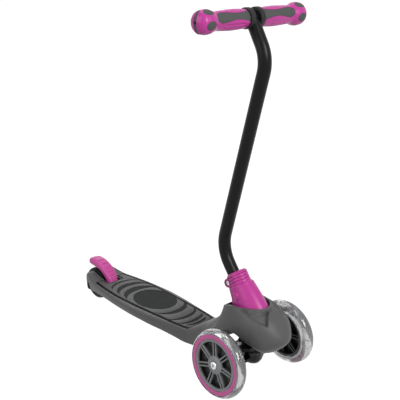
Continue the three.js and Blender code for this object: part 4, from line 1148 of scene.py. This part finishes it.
def make_column():
    saddle = along_y(rod(BAR_RADIUS + 0.25, -30, 30, 64), BAR)
    tube = cut(sweep(dense(column_path()), TUBE_RADIUS), saddle)
    work = bmesh.new()
    work.from_mesh(tube.data)
    lost = [v for v in work.verts if v.co.z > BAR[1] + 1]
    bmesh.ops.delete(work, geom=lost, context="VERTS")
    work.to_mesh(tube.data)
    work.free()
    piece(tube, "column_skin", "column", black_coat, ["column_tube"])
    bar = along_y(pipe(BAR_RADIUS, BAR_RADIUS - 2, -BAR_HALF, BAR_HALF), BAR)
    piece(bar, "crossbar_skin", "column", black_coat, ["crossbar"])


# Wheels, each part drawn about Z with the outer side up

WHEEL_RADIUS = 60.0
CROWN = 13.0
TRACK = 170.8
CAMBER = math.radians(3.5)
SPOKES = 7
SPOKE_TURN = 7.0
SPOKE_OFFSETS = (-2.85, 2.85)
SPOKE_HALF = 1.15
WHEEL_SIDES = 144
# outer and inner radius, from and to, along the axle
TRIM_RING = (53.0, 45.4, 7.5, 10.7)
FACE_RING = (44.7, 40.6, 5.4, 10.5)
RING_FILLET = 0.7
LUGS = 18
SCALLOPS = 20
SCALLOP_DEPTH = 1.2
HUB_RIM = 43.3
WEB_RADIUS = 40.6
HUB_BORE = 8.5
BEARING_SEAT = 11.0
KNUCKLE_AT = 38.0
CORE_EDGE_ROWS = [(44.6, -12.3), (44.9, -13.3), (47.3, -13.5), (48.1, -12.6)]
BOSS_ROWS = [
    (14.25, 5.4), (16, 5.4), (16, 9.0), (15.6, 9.5), (12.2, 11.0), (11.4, 11.2),
    (7.2, 11.2), (7.2, 9.6), (14.25, 9.6),
]
REAR_HALF = 12.0
REAR_RIBS = 5
BOLT_HEAD_ROWS = [
    (3.9, 9.25), (6.9, 9.25), (6.9, 11.4), (6.5, 12.4), (5.5, 13.1), (4.0, 13.4), (0, 13.5),
]


def tyre_shape():
    rows = [(45.1, -12.2), (45.1, 7.25), (53.3, 7.25), (53.3, 11.0)]
    rows += arc(WHEEL_RADIUS - CROWN, 0, CROWN, 58, -90, 40)
    return lathe(rows + [(45.8, -12.9)], WHEEL_SIDES)


def scalloped(r, z, turn):
    """The outer rows of the pale ring run in bows; the ring is the core's edge, and its
    paleness is partly a painted reflection of the rim edge.
    """
    return r + SCALLOP_DEPTH * abs(math.sin(SCALLOPS / 2 * turn)) if r > 46.5 else r


def spokes(start, bar):
    """Shapes of bar(offset), twins at each of the spokes."""
    made = []
    for i in range(SPOKES):
        turn = Matrix.Rotation(math.radians(start + 360 * i / SPOKES), 4, "Z")
        made += [turned(bar(offset), turn) for offset in SPOKE_OFFSETS]
    return made


def around(count, make):
    """Shapes of make() at even turns about Z."""
    turns = [Matrix.Rotation(2 * math.pi * i / count, 4, "Z") for i in range(count)]
    return [turned(make(), turn) for turn in turns]


def hub_shape(start):
    core = pipe(HUB_RIM, 39.8, -12.4, 5.15)
    lugs = around(LUGS, lambda: block(HUB_RIM - 1, 44.6, -2.6, 2.6, -11, 4))

    def rib(offset):
        return block(13, WEB_RADIUS, offset - SPOKE_HALF, offset + SPOKE_HALF, -9.5, 0)

    web, sleeve = pipe(WEB_RADIUS, 13, -1, 1.5), pipe(14, HUB_BORE, -11.5, 8.8, 64)
    joined(core, *lugs, web, sleeve, *spokes(start, rib))
    cut(core, rod(BEARING_SEAT, -20, -4), rod(BEARING_SEAT, 2, 20))
    return rounded(core, 0.25, 1, 50)


def face_shape(start):
    def bar(offset):
        low, high = offset - SPOKE_HALF, offset + SPOKE_HALF
        section = [
            (low, 5.8), (high, 5.8), (high, 8.8),
            (high - 0.5, 9.4), (low + 0.5, 9.4), (low, 8.8),
        ]
        return skin([[(x, y, z) for y, z in section] for x in (14, 41.6)])

    rim = soft_pipe(*FACE_RING, RING_FILLET, WHEEL_SIDES)
    return joined(rim, *spokes(start, bar), lathe(BOSS_ROWS, 96))


def axle_bolt_shape():
    end = 13 - (TRACK / 2 - KNUCKLE_AT) / math.cos(CAMBER)
    bolt = lathe([(0, end), (3.9, end)] + BOLT_HEAD_ROWS, 64)
    return cut(bolt, rod(2.9, 10.6, 15, 6))


def make_wheel(name, side):
    middle = (0, side * TRACK / 2, (WHEEL_RADIUS - CROWN) * math.cos(CAMBER) + CROWN)
    out = (0, side * math.cos(CAMBER), math.sin(CAMBER))
    start = 180 - SPOKE_TURN if side > 0 else -SPOKE_TURN
    wheel, knuckle = "wheel_" + name[0], "knuckle_" + name[0]

    def fit(shape, label, body, material, node):
        placed(shape, middle, out, (-side, 0, 0))
        piece(shape, label + name, body, material, [node + name])

    fit(tyre_shape(), "tread_", wheel, clear, "tyre_")
    # the pale ring at the core's edge; its paleness is partly a painted reflection of the rim
    # edge
    edge = lathe(CORE_EDGE_ROWS, 240, scalloped)
    fit(edge, "core_edge_", wheel, milky_edge_and_reflection, "tyre_")
    trim = soft_pipe(*TRIM_RING, RING_FILLET, WHEEL_SIDES)
    fit(trim, "trim_", wheel, ring_pink, "trim_ring_")
    fit(hub_shape(start), "hub_", wheel, hub_black, "hub_core_")
    fit(face_shape(start), "face_", wheel, hub_grey, "hub_face_")
    fit(axle_bolt_shape(), "hub_bolt_", knuckle, steel, "axle_bolt_")


def make_rear():
    half = REAR_HALF
    side = [(23.75, half - 1.5), (24.5, half), (29, half), (31, half - 0.6)]
    side += [(32.6, half - 2), (33.5, half - 4.5), (33.9, 3)]
    rows = [(r, -z) for r, z in side] + [(REAR_AXLE[1], 0)] + side[::-1]
    tyre = along_y(lathe(rows, 128), REAR_AXLE)
    piece(tyre, "rear_tread", "wheel_rear", rear_rubber, ["rear_tyre"])
    hub = pipe(23.5, 20.5, -10.8, 10.8)
    joined(hub, pipe(22.5, 12, -1.5, 1.5), pipe(14, HUB_BORE, -11.4, 11.4))
    joined(hub, *around(REAR_RIBS, lambda: block(13, 21.5, -1.2, 1.2, -8, 8)))
    cut(hub, *rod_pair(BEARING_SEAT, 4.5, 20))
    along_y(hub, REAR_AXLE)
    piece(hub, "rear_core", "wheel_rear", black_plastic, ["rear_hub"])


# Brake

# rows from the root to the end: top x and z, underside x and z, half width
FENDER_ROWS = [
    (-401, 47, -405.5, 48, 10.5),
    (-403.5, 53, -417.5, 48.7, 11.3),
    (-406, 60, -422, 55.5, 12),
    (-411.5, 67.5, -428, 61.8, 12.8),
    (-418.5, 74, -434, 66.3, 13.3),
    (-428, 79.8, -440.5, 69.3, 13.5),
    (-441, 85.3, -449, 71.5, 13.8),
    (-455, 88.4, -458.5, 72, 14),
    (-467, 88.4, -468, 72.5, 13.4),
    (-475.5, 86, -475.5, 73.6, 11.4),
    (-480.4, 81.5, -480, 76.6, 6.5),
]
FENDER_HALF = 13.5
FENDER_SHARE = 0.62
FENDER_SIDES = 48
CURVE_STEPS = 6
NOTCH_HALF = 1.3
EYE_RADIUS = 5.4
PIVOT_RADIUS = 3.6
PIVOT_HALF = 15.9
PIVOT_BORE = 2.6


def through(points):
    """A smooth open curve through rows of numbers."""
    made = []
    last = len(points) - 1
    for i in range(last):
        p0, p1 = points[max(i - 1, 0)], points[i]
        p2, p3 = points[i + 1], points[min(i + 2, last)]
        for k in range(CURVE_STEPS):
            t = k / CURVE_STEPS
            row = []
            for a, b, c, d in zip(p0, p1, p2, p3):
                value = 2 * b + (c - a) * t + (2 * a - 5 * b + 4 * c - d) * t * t
                row.append((value + (3 * b - a - 3 * c + d) * t * t * t) / 2)
            made.append(row)
    made.append(list(points[last]))
    return made


def fender_notches():
    """Cross grooves between the rows of the top."""
    notches = []
    width = FENDER_HALF + 1
    for row, after in zip(FENDER_ROWS[2:9], FENDER_ROWS[3:10]):
        x, z = row[:2]
        nx, nz = after[:2]
        angle = math.atan2(nz - z, nx - x)
        notch = rounded(block(-NOTCH_HALF, NOTCH_HALF, -width, width, -1.0, 3), 0.6, 3)
        at = ((x + nx) / 2, 0, (z + nz) / 2)
        notches.append(placed(notch, at, (math.sin(angle), 0, -math.cos(angle))))
    return notches


def make_fender():
    rings = []
    for x, z, px, pz, half in through(FENDER_ROWS):
        rows = []
        for i in range(FENDER_SIDES):
            turn = 2 * math.pi * (i + 0.5) / FENDER_SIDES
            across, rise = math.cos(turn), math.sin(turn)
            y = half * math.copysign(abs(across) ** FENDER_SHARE, across)
            t = (1 + math.copysign(abs(rise) ** FENDER_SHARE, rise)) / 2
            rows.append((px + (x - px) * t, y, pz + (z - pz) * t))
        rings.append(rows)
    fender = cut(skin(rings), *fender_notches())
    eye = along_y(rod(EYE_RADIUS, -FENDER_HALF, FENDER_HALF), BRAKE_PIN)
    pivot = along_y(rod(PIVOT_RADIUS, -PIVOT_HALF, PIVOT_HALF), BRAKE_PIN)
    joined(fender, eye, pivot)
    cut(fender, along_y(rod(PIVOT_BORE, -30, 30), BRAKE_PIN))
    piece(fender, "brake_pedal", "brake", fender_pink, ["brake_fender"])


make_deck()
make_tread()
make_collar()
make_button()
make_clamp_bolt()
make_column()
make_grips()
make_wheel("left", 1)
make_wheel("right", -1)
make_rear()
make_fender()

# Parts kept from the frame get their materials here

KEPT = {
    "steering_truck": bowl_black,
    "tie_plate": black_plastic,
    "rear_axle_bolt": black_steel,
    "rear_axle_nut": black_steel,
    "knuckle_left": black_plastic,
    "knuckle_right": black_plastic,
}
for name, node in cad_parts.items():
    if node.hide_render:
        continue
    material = KEPT.get(name, dark_steel if "bearing" in name else steel)
    node.data.materials.clear()
    node.data.materials.append(material)
    node.data.shade_smooth()
    node.data.set_sharp_from_angle(angle=SHARP)

# Floor, light and camera

CAMERA_AT = (1.0474, -0.9052, 0.7368)
CAMERA_RIGHT = (0.6794, 0.7337, 0.0)
CAMERA_UP = (-0.2303, 0.2132, 0.9495)
CAMERA_BACK = (0.6967, -0.6451, 0.3138)
LENS = 71.15
SENSOR = 36.0
WHITE = (1, 1, 1, 1)
FLOOR_HALF = 8.0
FLOOR_GREY = (0.4, 0.4, 0.4, 1)
FLOOR_GLOW = 1.32
GLOW_SHARE = 0.8
WORLD_DIM = 0.22
# name, place, aim, watts and side, in metres
LAMPS = [
    ("key", (2.1, -0.2, 1.45), (0, 0, 0.25), 40, 0.9),
    ("fill", (-0.3, -1.9, 1.3), (0, 0, 0.25), 16, 1.4),
    ("rear", (-1.9, 1.3, 1.2), (-0.1, 0, 0.35), 11, 1.4),
    ("top", (-0.5, 0.3, 2.2), (0, 0, 0.1), 6, 0.8),
]
# the floor and the sky are bright for these rays and dim for the light they throw
SHOWN_TO = ("Is Camera Ray", "Is Glossy Ray", "Is Transmission Ray")


def make_floor():
    far = FLOOR_HALF
    corners = [(-far, -far, 0), (far, -far, 0), (far, far, 0), (-far, far, 0)]
    floor = solid(corners, [(0, 1, 2, 3)], "floor")
    material = bpy.data.materials.new("floor_white")
    material.use_nodes = True
    material.node_tree.nodes.clear()
    nodes = Nodes(material.node_tree)
    plain = nodes.node("ShaderNodeBsdfDiffuse", {}, {"Color": FLOOR_GREY})
    glow = nodes.node("ShaderNodeEmission", {}, {"Color": WHITE, "Strength": FLOOR_GLOW})
    share = nodes.rays(*SHOWN_TO) * GLOW_SHARE
    mix = nodes.node("ShaderNodeMixShader", {}, {0: share, 1: plain, 2: glow})
    nodes.node("ShaderNodeOutputMaterial", {}, {"Surface": mix})
    floor.data.materials.append(material)


def make_world():
    world = bpy.data.worlds.new("studio")
    bpy.context.scene.world = world
    world.use_nodes = True
    world.node_tree.nodes.clear()
    nodes = Nodes(world.node_tree)
    dim = nodes.node("ShaderNodeBackground", {}, {"Color": WHITE, "Strength": WORLD_DIM})
    white = nodes.node("ShaderNodeBackground", {}, {"Color": WHITE, "Strength": 1.0})
    share = nodes.rays(*SHOWN_TO)
    mix = nodes.node("ShaderNodeMixShader", {}, {0: share, 1: dim, 2: white})
    nodes.node("ShaderNodeOutputWorld", {}, {"Surface": mix})


def lamp(name, at, target, power, size):
    data = bpy.data.lights.new(name, "AREA")
    data.energy = power
    data.size = size
    made = bpy.data.objects.new(name, data)
    made.location = at
    aim = Vector(target) - Vector(at)
    made.rotation_euler = aim.to_track_quat("-Z", "Y").to_euler()
    bpy.context.scene.collection.objects.link(made)


def make_camera():
    data = bpy.data.cameras.new("camera")
    data.sensor_width = SENSOR
    data.lens = LENS
    data.clip_start = 0.01
    data.clip_end = 100.0
    made = bpy.data.objects.new("camera", data)
    rows = Matrix((CAMERA_RIGHT, CAMERA_UP, CAMERA_BACK)).transposed().to_4x4()
    rows.translation = Vector(CAMERA_AT)
    made.matrix_world = rows
    bpy.context.scene.collection.objects.link(made)
    bpy.context.scene.camera = made


make_floor()
make_world()
for row in LAMPS:
    lamp(*row)
make_camera()
bpy.context.scene.view_settings.view_transform = "Standard"
